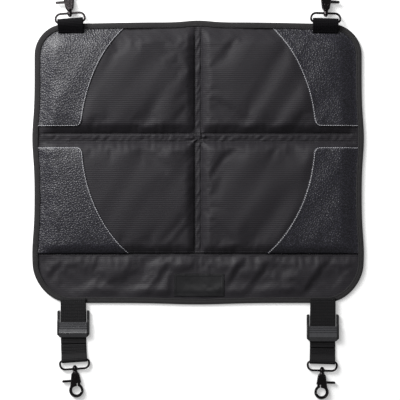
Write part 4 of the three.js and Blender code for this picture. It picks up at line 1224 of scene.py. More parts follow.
@dataclass
class SettledCloth:
    """Cloth simulation of the slack front: held along its seams and lifted a little by the padding."""

    form: MatForm
    pitch: float = 5 * MM
    slack: float = 0.012
    pressure: float = 0.6
    frames: int = 22
    cap: float = 2.5 * MM
    freed_by_seam: Point = (2 * MM, 9 * MM)
    freed_by_edge: Point = (10 * MM, 24 * MM)
    lifts: dict[tuple[int, int], float] = field(default_factory=dict)

    def held(self, x: float, y: float) -> float:
        """How firmly a point of the cloth is held, from 0 to 1.

        Args:
            x: Place across the mat.
            y: Place along the mat.

        Returns:
            1 where the cloth is sewn down and 0 where it is free.
        """
        form = self.form
        upright, level = abs(x) - form.channel_half, form.beside_level(y)
        seam = min(abs(upright), abs(level), abs(y - form.seam_y))
        strip = upright < 0 or level < 0
        free = smooth(seam, *self.freed_by_seam) * smooth(form.edge_distance(x, y), *self.freed_by_edge)
        return 1.0 if strip else 1.0 - free

    def run(self) -> None:
        """Simulates the cloth and keeps how far each point rose."""
        form = self.form
        counts = [round(half / self.pitch) for half in (form.half_width, form.half_height)]
        across, up = ([i * self.pitch for i in range(-count, count + 1)] for count in counts)
        bm = mapped_grid(across, up, lambda x, y: Vector((x, y, form.cloth_top(x, y))))
        cloth = linked(bm, "slack_cloth")
        mesh = cloth.data
        start = [vert.co.copy() for vert in mesh.vertices]
        pins = cloth.vertex_groups.new(name="held")
        for i, co in enumerate(start):
            pins.add([i], self.held(co.x, co.y), "REPLACE")
        modifier = cloth.modifiers.new("cloth", "CLOTH")
        facts = modifier.settings
        facts.quality = 6
        facts.mass = 0.25
        facts.tension_stiffness = facts.compression_stiffness = 20
        facts.shear_stiffness = 8
        facts.bending_stiffness = 0.4
        facts.vertex_group_mass = pins.name
        facts.shrink_min = -self.slack
        facts.use_pressure = True
        facts.uniform_pressure_force = self.pressure
        facts.effector_weights.gravity = 0.0
        modifier.point_cache.frame_end = self.frames
        for frame_number in range(1, self.frames + 1):
            bpy.context.scene.frame_set(frame_number)
        settled = cloth.evaluated_get(bpy.context.evaluated_depsgraph_get())
        for before, vert in zip(start, settled.data.vertices):
            lift = vert.co.z - before.z
            key = (round(before.x / self.pitch), round(before.y / self.pitch))
            self.lifts[key] = self.cap * math.tanh(lift / self.cap)
        bpy.data.objects.remove(cloth)
        bpy.data.meshes.remove(mesh)
        bpy.context.scene.frame_set(1)
        spread = sorted(self.lifts.values())
        log.info("settled cloth: %.2f to %.2f mm", spread[0] / MM, spread[-1] / MM)

    def lift(self, x: float, y: float) -> float:
        """How far the settled cloth stands over its pattern at a point.

        Args:
            x: Place across the mat.
            y: Place along the mat.

        Returns:
            Height between the nearest points of the simulated grid.
        """
        column, row = math.floor(x / self.pitch), math.floor(y / self.pitch)
        u, v = x / self.pitch - column, y / self.pitch - row
        near = [self.lifts.get((column + i, row + j), 0.0) for j in (0, 1) for i in (0, 1)]
        return mix(mix(near[0], near[1], u), mix(near[2], near[3], u), v)


@dataclass
class ClothLayers:
    """The mat's own sheets: quilted front, lower flap and back."""

    form: MatForm
    pitch: float = 2.7 * MM
    fine: float = 0.75 * MM
    hidden_edge: float = 2.5 * MM
    cloth: float = 0.8 * MM
    seam_gap: float = 0.15 * MM
    seam_end: float = 9 * MM
    topstitch: float = 2.9 * MM
    thread_rise: float = 0.1 * MM
    back_stitch: float = 0.42 * MM
    hem: Ridge = Ridge(-0.3 * MM, 0.0, 0.8 * MM)
    back_line: Ridge = Ridge(1.0, 0.0, 1.5 * MM)
    back_draw: float = 0.4 * MM
    back_lift: float = 1.2 * MM
    back_lip: float = 6 * MM

    def sheet(
        self, low_y: float, high_y: float, top: Height, seams_x: Sequence[float], seams_y: Sequence[float]
    ) -> bmesh.types.BMesh:
        """Grid over a level band of the mat, cut off inside the binding.

        Args:
            low_y: Lower edge of the band.
            high_y: Upper edge of the band.
            top: Height of the sheet.
            seams_x: Upright lines that need fine detail.
            seams_y: Level lines that need fine detail.

        Returns:
            The sheet's top skin.
        """
        form = self.form
        reach = form.half_width + form.side_swell
        columns = fine_lines(-reach, reach, seams_x, self.fine, self.pitch)
        rows = fine_lines(low_y, high_y, seams_y, self.fine, self.pitch)
        bm = mapped_grid(columns, rows, lambda x, y: Vector((x, y, 0.0)))
        outside = [vert for vert in bm.verts if form.edge_distance(vert.co.x, vert.co.y) < self.hidden_edge]
        bmesh.ops.delete(bm, geom=outside, context="VERTS")
        for vert in bm.verts:
            x, y = vert.co.x, vert.co.y
            vert.co = form.place(x, y, top(x, y))
        return bm

    def build_front(self) -> None:
        """Makes the quilted front, which stands for its plain solid, and hems it at the seam."""
        form = self.form
        edge = form.seam_y + self.seam_gap

        def top(x: float, y: float) -> float:
            """Top of the front, pressed down along its hem."""
            return form.panel_top(x, y) + self.hem.at(y - edge)

        sides = (-form.channel_half, form.channel_half)
        bm = self.sheet(edge, form.high_end, top, sides,
                        (edge, form.channel_y - form.strip_under, form.channel_y + form.strip_over))
        front = to_object(bm, "quilted_front", PANEL_CLOTH)
        solidify(front, self.cloth)
        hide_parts("front_panel")

    def build_flap(self) -> None:
        """Makes the unpadded lower flap."""
        form = self.form
        edge = form.seam_y - self.seam_gap
        bm = self.sheet(form.low_end, edge, form.flap_top, (0.0,), (edge,))
        flap = to_object(bm, "lower_flap_cloth", FLAP_CLOTH)
        solidify(flap, self.cloth)
        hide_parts("lower_flap")

    def build_back(self) -> None:
        """Makes the back cloth, flat on the floor and drawn in along the quilting lines."""
        form = self.form

        def top(x: float, y: float) -> float:
            """Top of the back cloth, lifted into the binding and drawn in at the lines.

            Args:
                x: Place across the mat.
                y: Place along the mat.

            Returns:
                Height of the back cloth's top.
            """
            inner = form.edge_distance(x, y) - form.border_flat
            lines = self.back_line.at(abs(x) - form.channel_half) + self.back_line.at(form.beside_level(y))
            lines = lines * (y > form.seam_y) + self.back_line.at(y - form.seam_y)
            return (self.cloth + self.back_lift * (1 - smooth(inner, 0, self.back_lip))
                    + self.back_draw * clamp(lines))

        bm = self.sheet(form.low_end, form.high_end, top, (0.0,), (form.seam_y, form.channel_y))
        back = to_object(bm, "back_cloth", BACKING)
        solidify(back, self.cloth)
        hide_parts("back_cover")

    def stitch(self) -> None:
        """Sews the quilting lines and the topstitched seam, seen on the front and on the back."""
        form = self.form
        routes = []
        for x in (-form.channel_half, form.channel_half):
            top = form.edge_y(x, 1) - self.seam_end
            routes.append([(x, mix(form.seam_y, top, i / 160)) for i in range(161)])
        for y in (form.channel_y + form.strip_over, form.channel_y - form.strip_under,
                  form.seam_y + self.topstitch):
            reach = form.edge_x(y) - self.seam_end
            routes.append([(mix(-reach, reach, i / 240), y) for i in range(241)])
        QUILT_STITCH.sew("quilting_stitches", [
            [form.place(x, y, form.cloth_top(x, y) + self.thread_rise) for x, y in route]
            for route in routes])
        QUILT_STITCH.sew("back_stitches", [
            [form.place(x, y, self.back_stitch) for x, y in route] for route in routes])


@dataclass
class FoamPads:
    """Four foam slabs that fill the quilted cells."""

    form: MatForm
    border_inset: float = 26 * MM
    seam_inset: float = 6 * MM
    under_cloth: float = 1.5 * MM
    base: float = 1.1 * MM
    least: float = 1.2 * MM
    pitch: float = 6 * MM

    def build(self) -> None:
        """Makes the four slabs."""
        form = self.form
        inset = form.channel_half + self.seam_inset
        for upper in (True, False):
            low = form.channel_y + inset if upper else form.seam_y + self.seam_inset
            high = form.half_height - self.border_inset if upper else form.channel_y - inset
            for side in (-1, 1):
                near, far = sorted((side * inset, side * (form.half_width - self.border_inset)))
                self.slab(corner_name(upper, side), near, far, low, high)

    def slab(self, name: str, left: float, right: float, low: float, high: float) -> None:
        """Makes one slab: a sheet under the cloth, its rim drawn down to a flat base.

        Args:
            name: Name of the piece.
            left: Left side.
            right: Right side.
            low: Lower side.
            high: Upper side.
        """
        form = self.form
        columns = fine_lines(left, right, (left, right), self.pitch / 3, self.pitch)
        rows = fine_lines(low, high, (low, high), self.pitch / 3, self.pitch)
        bm = mapped_grid(columns, rows, lambda x, y: form.place(
            x, y, max(self.base + self.least, form.panel_top(x, y) - self.under_cloth)))
        rim = [edge for edge in bm.edges if edge.is_boundary]
        drawn = bmesh.ops.extrude_edge_only(bm, edges=rim)["geom"]
        for item in drawn:
            if isinstance(item, bmesh.types.BMVert):
                item.co.z = self.base
        edges = [item for item in drawn if isinstance(item, bmesh.types.BMEdge)]
        bmesh.ops.holes_fill(bm, edges=edges, sides=0)
        bmesh.ops.recalc_face_normals(bm, faces=bm.faces)
        made = to_object(bm, f"foam_{name}", PAD_FOAM)
        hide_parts(f"foam_pad_{name}")


@dataclass
class EdgeBinding:
    """Folded tape around the whole mat, sewn through near its inner edge."""

    form: MatForm
    width: float = 8.5 * MM
    tape: float = 0.9 * MM
    fold: float = 1.5 * MM
    fold_turns: tuple[float, ...] = (0.0, 0.4, 0.8, 1.2, math.pi / 2)
    pitch: float = 3 * MM
    stitch_inset: float = 6.6 * MM
    stitch_sink: float = 0.1 * MM
    wander: float = 0.5 * MM
    wander_length: float = 24 * MM
    slack: float = 0.3 * MM
    slack_length: float = 7 * MM

    def section(self, top: float, along: float) -> list[Point]:
        """Inset and height of the section's corners, from the lower lip's edge around the fold.

        Args:
            top: Height of the upper lip.
            along: Distance along the edge, for the tape's unevenness.

        Returns:
            Inset and height of each corner.
        """
        tape, fold = self.tape, self.fold
        width = self.width + self.wander * noise.noise(Vector((along / self.wander_length, 0.0, 31.0)))
        slack = self.slack * noise.noise(Vector((along / self.slack_length, 0.0, 37.0)))
        rounds = [(fold * (1 - math.sin(angle)), fold * (1 - math.cos(angle))) for angle in self.fold_turns]
        upper_rounds = [(inset, top - z) for inset, z in reversed(rounds)]
        lip = [(3.4 * MM, top + 0.15 * MM + slack), (5.2 * MM, top + 0.1 * MM + slack),
               (self.stitch_inset, top - 0.25 * MM), (7.6 * MM, top + 0.05 * MM), (width, top - 0.1 * MM)]
        inside = [(width, top - tape), (5 * MM, top - tape), (fold, top - tape), (tape, top - fold),
                  (tape, fold), (fold, tape), (width, tape)]
        return [(width, 0.0), *rounds, *upper_rounds, *lip, *inside]

    def build(self) -> None:
        """Makes the tape and its row of stitches."""
        form = self.form
        stations = form.stations(self.pitch)
        total = lengths_along([form.edge_point(station, 0.0, 0.0) for station in stations])
        rings, marks, seam = [], [], []
        for station, along in zip(stations, total):
            top = form.lip_top(station[0], station[1])
            section = self.section(top, along % total[-1])
            rings.append([form.edge_point(station, inset, z) for inset, z in section])
            around = lengths_along([Vector((inset, z, 0.0)) for inset, z in section])
            marks.append([(value, along) for value in around])
            seam.append(form.edge_point(station, self.stitch_inset, top - self.stitch_sink))
        bm = sweep(rings, marks, closed=True)
        made = to_object(bm, "bound_edge", EDGE_TAPE)
        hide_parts("edge_binding")
        TAPE_STITCH.sew("binding_stitches", [seam])


@dataclass
class LeatherPatch:
    """Leather corner of the mat, its inner edge an arc of a wide oval, sewn down with pale thread."""

    form: MatForm
    side: int
    upper: bool
    thickness: float = 0.9 * MM
    lift: float = 1.2 * MM
    corner: float = 9 * MM
    hidden_edge: float = 3.5 * MM
    stitch_inset: float = 1.7 * MM
    stitch_end: float = 7.5 * MM
    stitch_rise: float = 0.15 * MM
    from_channel: Point = (-12.7 * MM, 17.3 * MM)
    rolled_share: float = 0.35
    groove: Ridge = Ridge(-0.3 * MM, 1.7 * MM, 0.55 * MM)
    gathers: Gathers = Gathers(0.25 * MM, 8 * MM, 41.0)
    pitch: float = 2.4 * MM
    fine: tuple[float, ...] = (
        0.0, 0.35 * MM, 0.8 * MM, 1.3 * MM, 1.9 * MM, 2.6 * MM, 3.6 * MM, 5 * MM, 7 * MM, 9 * MM)

    @property
    def name(self) -> str:
        """Name of the patch's corner."""
        return corner_name(self.upper, self.side)

    @property
    def level(self) -> float:
        """Height of the edge beside the level channel."""
        return self.form.channel_y + self.from_channel[self.upper]

    def arc_stretch(self, half_width: Callable[[float], float], y: float) -> float:
        """How much longer a curved edge is than its height, at a place along it."""
        return math.hypot(1, (half_width(y + MM) - half_width(y - MM)) / (2 * MM))

    def inner_x(self, y: float) -> float:
        """Distance from the mat's middle to the patch's inner edge, its corner rounded.

        Args:
            y: Place along the mat.

        Returns:
            Distance of the inner edge from the middle.
        """
        from_level = abs(y - self.level)
        short = max(0.0, self.corner - from_level)
        return self.form.open_half(y) + self.corner - math.sqrt(self.corner ** 2 - short ** 2)

    def edge_gap(self, x: float, y: float) -> float:
        """Distance from the patch's visible edges, negative outside.

        Args:
            x: Place across the mat.
            y: Place along the mat.

        Returns:
            Distance to the nearest visible edge.
        """
        beside = (abs(x) - self.inner_x(y)) / self.arc_stretch(self.inner_x, y)
        beyond = (y - self.level) if self.upper else (self.level - y)
        return min(beside, beyond)

    def top(self, x: float, y: float) -> float:
        """Top of the leather, rolled down at its cut edge and pressed in by the stitches.

        Args:
            x: Place across the mat.
            y: Place along the mat.

        Returns:
            Height of the leather's top.
        """
        gap = self.edge_gap(x, y)
        roll = rolled(gap / MM)
        pull = self.groove.at(gap) + self.gathers.at(gap, x + y, 3 * self.side)
        return self.form.panel_top(x, y) + mix(self.rolled_share, 1.0, roll) * self.lift + pull

    def point(self, u: float, v: float) -> Vector:
        """Place for shares across (0 at the inner edge) and along (0 at the level edge).

        Args:
            u: Share of the way from the inner edge to the mat's edge.
            v: Share of the way from the level edge to the far end.

        Returns:
            Point of the leather's top.
        """
        form = self.form
        if self.upper:
            far = form.half_height
            y = mix(self.level, far, v)
            outer = form.edge_x(min(y, far - 0.1 * MM)) - self.hidden_edge
            x = mix(self.inner_x(y), outer, u)
            y += v ** 6 * (form.edge_y(x, 1) - self.hidden_edge - far)
        else:
            y = mix(self.level, form.seam_y + 0.2 * MM, v)
            x = mix(self.inner_x(y), form.edge_x(y) - self.hidden_edge, u)
        x *= self.side
        return form.place(x, y, self.top(x, y))

    def cut(self) -> tuple[float, float, float]:
        """Width, length and area of the leather before it was sewn down.

        Returns:
            Width, length and area.
        """
        form = self.form
        far = form.half_height if self.upper else form.seam_y
        rows = [mix(self.level, far, (i + 0.5) / 80) for i in range(80)]
        widths = [form.edge_x(y) - self.hidden_edge - self.inner_x(y) for y in rows]
        length = abs(far - self.level)
        return max(widths), length, length * sum(widths) / len(widths)

    def build(self) -> None:
        """Makes the leather and its stitches."""
        form = self.form
        span = (form.half_height - self.level) if self.upper else (self.level - form.seam_y)
        across = steps(form.half_width - self.inner_x(self.level), self.fine, self.pitch)
        along = steps(span, self.fine, self.pitch)
        bm = mapped_grid(across, along, self.point)
        made = to_object(bm, f"leather_{self.name}", LEATHER)
        solidify(made, self.thickness)
        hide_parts(f"corner_patch_{self.name}")
        width, length, area = self.cut()
        PATCH_STITCH.sew(f"leather_stitches_{self.name}", [self.stitch_route()])

    def stitch_route(self) -> list[Vector]:
        """Line inside the patch's edge, from the binding along the level edge and up the arc.

        Returns:
            Points of the line on the leather.
        """
        form, inset = self.form, self.stitch_inset
        toward = 1 if self.upper else -1
        start_y = self.level + toward * inset
        end_y = form.half_height - 4 * MM if self.upper else form.seam_y + MM
        corner = self.corner - inset
        outer = form.edge_x(start_y) - 8 * MM
        turn_x = form.open_half(start_y) + inset + corner
        flat = [(mix(outer, turn_x, i / 40), start_y) for i in range(40)]
        bend = [(turn_x - corner * math.sin(a), start_y + toward * corner * (1 - math.cos(a)))
                for a in (i / 8 * math.pi / 2 for i in range(8))]
        heights = [mix(start_y + toward * corner, end_y, i / 90) for i in range(91)]
        rise = [(form.open_half(y) + inset * self.arc_stretch(form.open_half, y), y) for y in heights]
        points = [(x * self.side, y) for x, y in [*flat, *bend, *rise]
                  if form.edge_distance(x, y) > self.stitch_end]
        return [form.place(x, y, self.top(x, y) + self.stitch_rise) for x, y in points]


@dataclass
class LabelPatch:
    """Bare satin label on the lower flap, hemmed and sewn around."""

    form: MatForm
    lift: float = 0.9 * MM
    thickness: float = 0.6 * MM
    rolled_edge: float = 0.8 * MM
    rolled_share: float = 0.3
    hem: float = 2.6 * MM
    hem_fall: float = 0.6 * MM
    hem_rise: float = 0.25 * MM
    groove: Ridge = Ridge(-0.25 * MM, 1.7 * MM, 0.5 * MM)
    stitches: Stitching = Stitching(DARK_THREAD, pitch=2.6 * MM, length=2.1 * MM, radius=0.3 * MM)
    stitch_rise: float = 0.1 * MM
    pitch: float = 1.6 * MM
    fine: tuple[float, ...] = (0.0, 0.3 * MM, 0.7 * MM, 1.2 * MM, 1.7 * MM, 2.2 * MM, 2.8 * MM, 3.4 * MM)

    def rise(self, x: float, y: float) -> float:
        """Height of the label over the flap, with its pressed hem and the groove of its stitches.

        Args:
            x: Place across the label from its middle.
            y: Place along the label from its middle.

        Returns:
            Height over the flap's cloth.
        """
        width, height = self.form.label_size
        gap = min(width / 2 - abs(x), height / 2 - abs(y))
        roll = rolled(gap / self.rolled_edge)
        hem = self.hem_rise * (1 - smooth(gap, self.hem, self.hem + self.hem_fall))
        return mix(self.rolled_share, 1.0, roll) * self.lift + hem * roll + self.groove.at(gap)

    def place(self, x: float, y: float) -> Vector:
        """Point of the label in the frame, for a place from its middle.

        Args:
            x: Place across the label from its middle.
            y: Place along the label from its middle.

        Returns:
            Point of the label's top.
        """
        form = self.form
        px, py = x + form.label_middle[0], y + form.label_middle[1]
        return form.place(px, py, form.flap_top(px, py) + self.rise(x, y))

    def build(self) -> None:
        """Makes the label and its stitches."""
        width, height = self.form.label_size
        halves = [steps(length / 2, self.fine, self.pitch) for length in (width, height)]
        across, up = ([share / 2 for share in half] + [1 - share / 2 for share in reversed(half[:-1])]
                      for half in halves)
        bm = mapped_grid(across, up, lambda u, v: self.place((u - 0.5) * width, (v - 0.5) * height))
        made = to_object(bm, "bare_label", LABEL_SATIN)
        solidify(made, self.thickness)
        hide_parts("label_patch")
        x, y = width / 2 - self.groove.offset, height / 2 - self.groove.offset
        corners = [(-x, -y), (x, -y), (x, y), (-x, y), (-x, -y)]
        over = Vector((0, 0, self.stitch_rise))
        route = [self.place(mix(a[0], b[0], i / 20), mix(a[1], b[1], i / 20)) + over
                 for a, b in zip(corners, corners[1:]) for i in range(20)]
        self.stitches.sew("label_stitches", [route])


# Straps


@dataclass
class Route:
    """Line of a strap in its own plane, as reach from the mat's edge and height."""

    points: list[Vector] = field(default_factory=list)

    def line(self, x: float, y: float) -> None:
        """Goes straight to a point."""
        self.points.append(Vector((x, y, 0.0)))

    def arc(self, x: float, y: float, radius: float, start: float, end: float) -> None:
        """Goes round a middle from one angle to another.

        Args:
            x: Middle's distance along the strap.
            y: Middle's height.
            radius: Radius of the arc.
            start: Angle at its start.
            end: Angle at its end.
        """
        count = max(3, round(abs(end - start) * 8 / math.pi))
        for i in range(count + 1):
            angle = mix(start, end, i / count)
            self.points.append(Vector((x + radius * math.cos(angle), y + radius * math.sin(angle), 0.0)))

    def curve(self, *controls: Point) -> None:
        """Goes along a Bezier curve to the last of its controls."""
        rank = [self.points[-1], *(Vector((x, y, 0.0)) for x, y in controls)]
        for i in range(1, 11):
            level = rank
            while len(level) > 1:
                level = [a.lerp(b, i / 10) for a, b in zip(level, level[1:])]
            self.points.append(level[0])


@dataclass
class Strap:
    """Webbing swept along a route and bent sideways between two reaches."""

    name: str
    origin: Vector
    outward: int
    bend_from: float
    bend_to: float
    lean: float
    finish: Finish = WEBBING
    width: float = 38 * MM
    thickness: float = 1.4 * MM
    row_inset: float = 2.5 * MM
    pitch: float = 0.9 * MM
    selvedge: tuple[Point, ...] = (
        (0.0, 0.0), (0.15 * MM, 0.6), (0.7 * MM, 1.08), (2.2 * MM, 1.0), (9.5 * MM, 0.96), (19 * MM, 0.96))

    def bend(self, across: float, reach: float) -> Point:
        """Where a point comes to when the strap bends sideways.

        Args:
            across: Distance from the strap's middle line.
            reach: Distance along the strap.

        Returns:
            The point's place sideways and outwards from the strap's origin.
        """
        angle = self.lean * clamp((reach - self.bend_from) / (self.bend_to - self.bend_from))
        inside = clamp(reach, self.bend_from, self.bend_to) - self.bend_from
        past = max(0.0, reach - self.bend_to)
        x = -inside * angle / 2 - past * math.sin(self.lean)
        y = min(reach, self.bend_from) + inside + past * math.cos(self.lean)
        return x + across * math.cos(angle), y + across * math.sin(angle)

    def place(self, across: float, reach: float, height: float) -> Vector:
        """Point of the strap in the frame."""
        x, y = self.bend(across, reach)
        return self.origin + Vector((self.outward * x, self.outward * y, height))

    def section(self) -> list[Point]:
        """Across and height of the webbing's section, its selvedges a little thicker.

        Returns:
            Corners of the section in order.
        """
        upper = [(inset - self.width / 2, share * self.thickness / 2) for inset, share in self.selvedge]
        upper += [(-x, z) for x, z in reversed(upper[:-1])]
        return [*upper, *[(x, -z) for x, z in reversed(upper[1:-1])]]

    def build(self, route: Route, closed: bool) -> bpy.types.Object:
        """Makes the strap.

        Args:
            route: Middle line of the webbing.
            closed: Whether the route is one closed loop.

        Returns:
            The finished strap.
        """
        line = [*route.points, route.points[0]] if closed else route.points
        points = evenly(line, self.pitch)
        total = lengths_along(points)
        section = self.section()
        around = lengths_along([Vector((*corner, 0.0)) for corner in section])
        rings, marks = [], []
        for i, point in enumerate(points):
            if closed:
                before, after = points[(i - 1) % (len(points) - 1)], points[(i + 1) % (len(points) - 1)]
            else:
                before, after = points[max(i - 1, 0)], points[min(i + 1, len(points) - 1)]
            along = (after - before).normalized()
            rings.append([self.place(x, point.x - z * along.y, point.y + z * along.x) for x, z in section])
            marks.append([(value, total[i]) for value in around])
        return to_object(sweep(rings, marks, closed), self.name, self.finish)

    def row(self, reach: float, height: float) -> list[Vector]:
        """Line across the strap for a row of stitches."""
        half = self.width / 2 - self.row_inset
        return [self.place(mix(-half, half, i / 12), reach, height) for i in range(13)]


@dataclass
class TopStraps:
    """Two short loops on the top edge, each arched over the bar of a swivel eye."""

    form: MatForm
    spacing: float = 190 * MM
    foot_inset: float = 13.5 * MM
    bar_reach: float = 2.3 * MM
    loop_radius: float = 3.9 * MM
    lead: float = 0.7 * MM
    leans: tuple[float, float] = (0.078, -0.035)
    ply_pitch: float = 1.7 * MM
    foot_low: float = 5.4 * MM
    lower_ply: float = 6.6 * MM
    binding_width: float = EdgeBinding.width
    half_width: float = Strap.width / 2
    wire_radius: float = 1.7 * MM
    climb: float = 1.2 * MM
    descent: tuple[float, float, float] = (-4.5 * MM, -7.5 * MM, 4.6 * MM)
    row_inset: float = 1.9 * MM
    stitch_rise: float = 0.05 * MM

    def route(self) -> Route:
        """Middle line of the loop: along the leather, over the binding, round the bar and back down.

        Returns:
            The loop's middle line.
        """
        form = self.form
        fold = self.ply_pitch / 2
        end = self.bar_reach + self.lead
        crest = self.lower_ply + 2 * self.loop_radius
        foot = fold - self.foot_inset
        fall = abs(form.edge_y(self.spacing, 1) - form.edge_y(self.spacing + self.half_width, 1))
        lip = -self.binding_width - fall - MM
        crest_end, foot_start, drop = self.descent
        route = Route([Vector((foot, self.foot_low, 0.0))])
        route.curve((lip - self.climb, self.foot_low), (lip, self.lower_ply))
        route.line(0.0, self.lower_ply)
        route.arc(end, self.lower_ply + self.loop_radius, self.loop_radius, -math.pi / 2, math.pi / 2)
        route.curve((crest_end, crest), (foot_start, crest - drop), (foot, self.foot_low + self.ply_pitch))
        route.arc(foot, self.foot_low + fold, fold, math.pi / 2, 1.5 * math.pi)
        route.points.pop()
        return route

    def build(self) -> None:
        """Makes both loops, each with a row of stitches across its sewn end."""
        form = self.form
        for side, name, lean in ((-1, "left", self.leans[0]), (1, "right", self.leans[1])):
            origin = form.place(side * self.spacing, form.edge_y(self.spacing, 1), 0.0)
            # The loops take the strap webbing painted darker, as painted shade.
            strap = Strap(f"top_loop_{name}", origin, 1, -self.binding_width,
                          self.bar_reach - self.wire_radius, lean, SHADED_LOOP_WEBBING)
            made = strap.build(self.route(), closed=True)
            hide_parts(f"top_strap_{name}")
            height = self.foot_low + self.ply_pitch + strap.thickness / 2 + self.stitch_rise
            row = strap.row(self.row_inset - self.foot_inset, height)
            TAPE_STITCH.sew(f"top_loop_stitches_{name}", [row])


@dataclass
class BottomStraps:
    """Two adjustable straps on the bottom edge: a sewn loop, a ladder lock and the strap to the hook."""

    form: MatForm
    spacing: float = 186.5 * MM
    foot_inset: float = 7.5 * MM
    lock_reaches: tuple[float, float] = (11 * MM, 17 * MM)
    bar_reaches: tuple[float, float] = (85.5 * MM, 88 * MM)
    leans: tuple[float, float] = (0.07, -0.032)
    lock_length: float = 40 * MM
    ply: float = Strap.thickness
    gap: float = 0.3 * MM
    sewn_bar: float = 1.75 * MM
    plate_start: float = 17.4 * MM
    middle_bar: tuple[float, float] = (4.6 * MM, 2.6 * MM)
    wire_radius: float = 1.7 * MM
    eye_height: float = 4 * MM
    tail: float = 9.5 * MM
    sewn_end: float = 1.5 * MM
    seam_reach: float = 12.5 * MM
    easing: float = 6 * MM
    turn: float = 1.6 * MM
    foot_base: float = 4.3 * MM
    foot_level: float = 1.5 * MM
    sewn_rows: tuple[float, ...] = (2 * MM, 5 * MM)
    free_rows: tuple[float, ...] = (2.4 * MM, 6.4 * MM, 10.4 * MM)
    stitch_rise: float = 0.05 * MM

    @property
    def wrap(self) -> float:
        """Space from a bar's surface to the middle of the webbing around it."""
        return self.gap + self.ply / 2

    @property
    def sewn_bar_y(self) -> float:
        """Reach of the lock's fixed bar from the lock's mat end."""
        return self.plate_start + self.sewn_bar + self.gap

    @property
    def sewn_bar_z(self) -> float:
        """Height of the lock's fixed bar."""
        return self.sewn_bar + 2 * self.wrap

    @property
    def strand_y(self) -> float:
        """Reach at which the strap rises inside the lock."""
        return self.sewn_bar_y + self.sewn_bar + self.wrap + self.ply + self.gap

    @property
    def lower_z(self) -> float:
        """Height of the strap's lower ply."""
        return self.wrap

    @property
    def upper_z(self) -> float:
        """Height of the strap's upper ply."""
        return self.wrap + self.ply + self.gap

    def sewn_route(self, lock_reach: float) -> Route:
        """Closed loop from the binding round the lock's fixed bar.

        Args:
            lock_reach: Distance of the lock along the strap.

        Returns:
            The strap's middle line.
        """
        lower = self.foot_base + self.wrap
        upper = lower + self.ply + self.gap
        fold = (self.ply + self.gap) / 2
        foot = fold - self.foot_inset
        bar = lock_reach + self.sewn_bar_y
        around = self.sewn_bar + self.wrap
        route = Route([Vector((foot, lower, 0.0))])
        route.line(self.foot_level, lower)
        under = self.sewn_bar_z - around
        route.curve((bar * 0.35, lower), (bar * 0.35, under), (bar * 0.75, under))
        route.arc(bar, self.sewn_bar_z, around, -math.pi / 2, math.pi / 2)
        route.line(self.foot_level, upper)
        route.line(foot, upper)
        route.arc(foot, lower + fold, fold, math.pi / 2, 1.5 * math.pi)
        route.points.pop()
        return route

    def free_route(self, lock_reach: float, bar_reach: float) -> Route:
        """Strap from its loose end around the lock's middle bar, under the lock and round the eye's bar.

        Args:
            lock_reach: Distance of the lock along the strap.
            bar_reach: Distance of the eye's bar along the strap.

        Returns:
            The strap's middle line.
        """
        middle = self.strand_y + self.wrap
        middle_z = self.lower_z + self.wrap
        middle_top = middle_z + self.middle_bar[1]
        far = lock_reach + middle + self.middle_bar[0]
        near = lock_reach + middle
        rise = lock_reach + self.strand_y
        tail_end = lock_reach + self.lock_length + self.tail
        route = Route([Vector((tail_end, self.upper_z, 0.0))])
        route.line(far + self.wrap + self.turn, self.upper_z)
        route.curve((far + self.wrap, self.upper_z), (far + self.wrap, self.upper_z + self.turn))
        route.arc(far, middle_top, self.wrap, 0.0, math.pi / 2)
        route.arc(near, middle_top, self.wrap, math.pi / 2, math.pi)
        route.line(rise, middle_z)
        route.curve((rise, self.lower_z), (rise + self.turn, self.lower_z))
        around, eased = self.wire_radius + self.wrap, bar_reach - self.easing
        route.line(eased, self.lower_z)
        route.arc(bar_reach, self.eye_height, around, -math.pi / 2, math.pi / 2)
        route.curve((eased, self.eye_height + around), (eased, self.upper_z),
                    (bar_reach - self.seam_reach, self.upper_z))
        route.line(tail_end + self.sewn_end, self.upper_z)
        return route

    def build(self) -> None:
        """Makes the straps of both sides and their rows of stitches."""
        form = self.form
        for i, (side, name) in enumerate(((-1, "left"), (1, "right"))):
            lock, bar = self.lock_reaches[i], self.bar_reaches[i]
            origin = form.place(side * self.spacing, form.edge_y(self.spacing, -1), 0.0)
            bend_from = lock + self.lock_length + self.gap
            bend_to = bar - self.wire_radius - self.wrap - self.gap
            sewn = Strap(f"sewn_loop_{name}", origin, -1, bend_from, bend_to, 0.0)
            made = sewn.build(self.sewn_route(lock), closed=True)
            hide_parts(f"sewn_strap_{name}")
            free = Strap(f"free_strap_{name}", origin, -1, bend_from, bend_to, self.leans[i])
            made = free.build(self.free_route(lock, bar), closed=False)
            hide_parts(f"adjustable_strap_{name}")
            top = self.upper_z + self.ply / 2 + self.stitch_rise
            start = lock + self.lock_length + self.tail + self.sewn_end
            rows = [sewn.row(inset - self.foot_inset, self.foot_base + top) for inset in self.sewn_rows]
            rows += [free.row(start + reach, top) for reach in self.free_rows]
            TAPE_STITCH.sew(f"strap_stitches_{name}", rows)


class Hardware(Enum):
    """Kinds of the frame's hard nodes, by the start of their names."""

    LOCK = "ladder_lock"
    EYE = "eye"
    HOOK = "hook"
    TRIGGER = "trigger"
    RIVET = "rivet"
    SPRING = "spring"


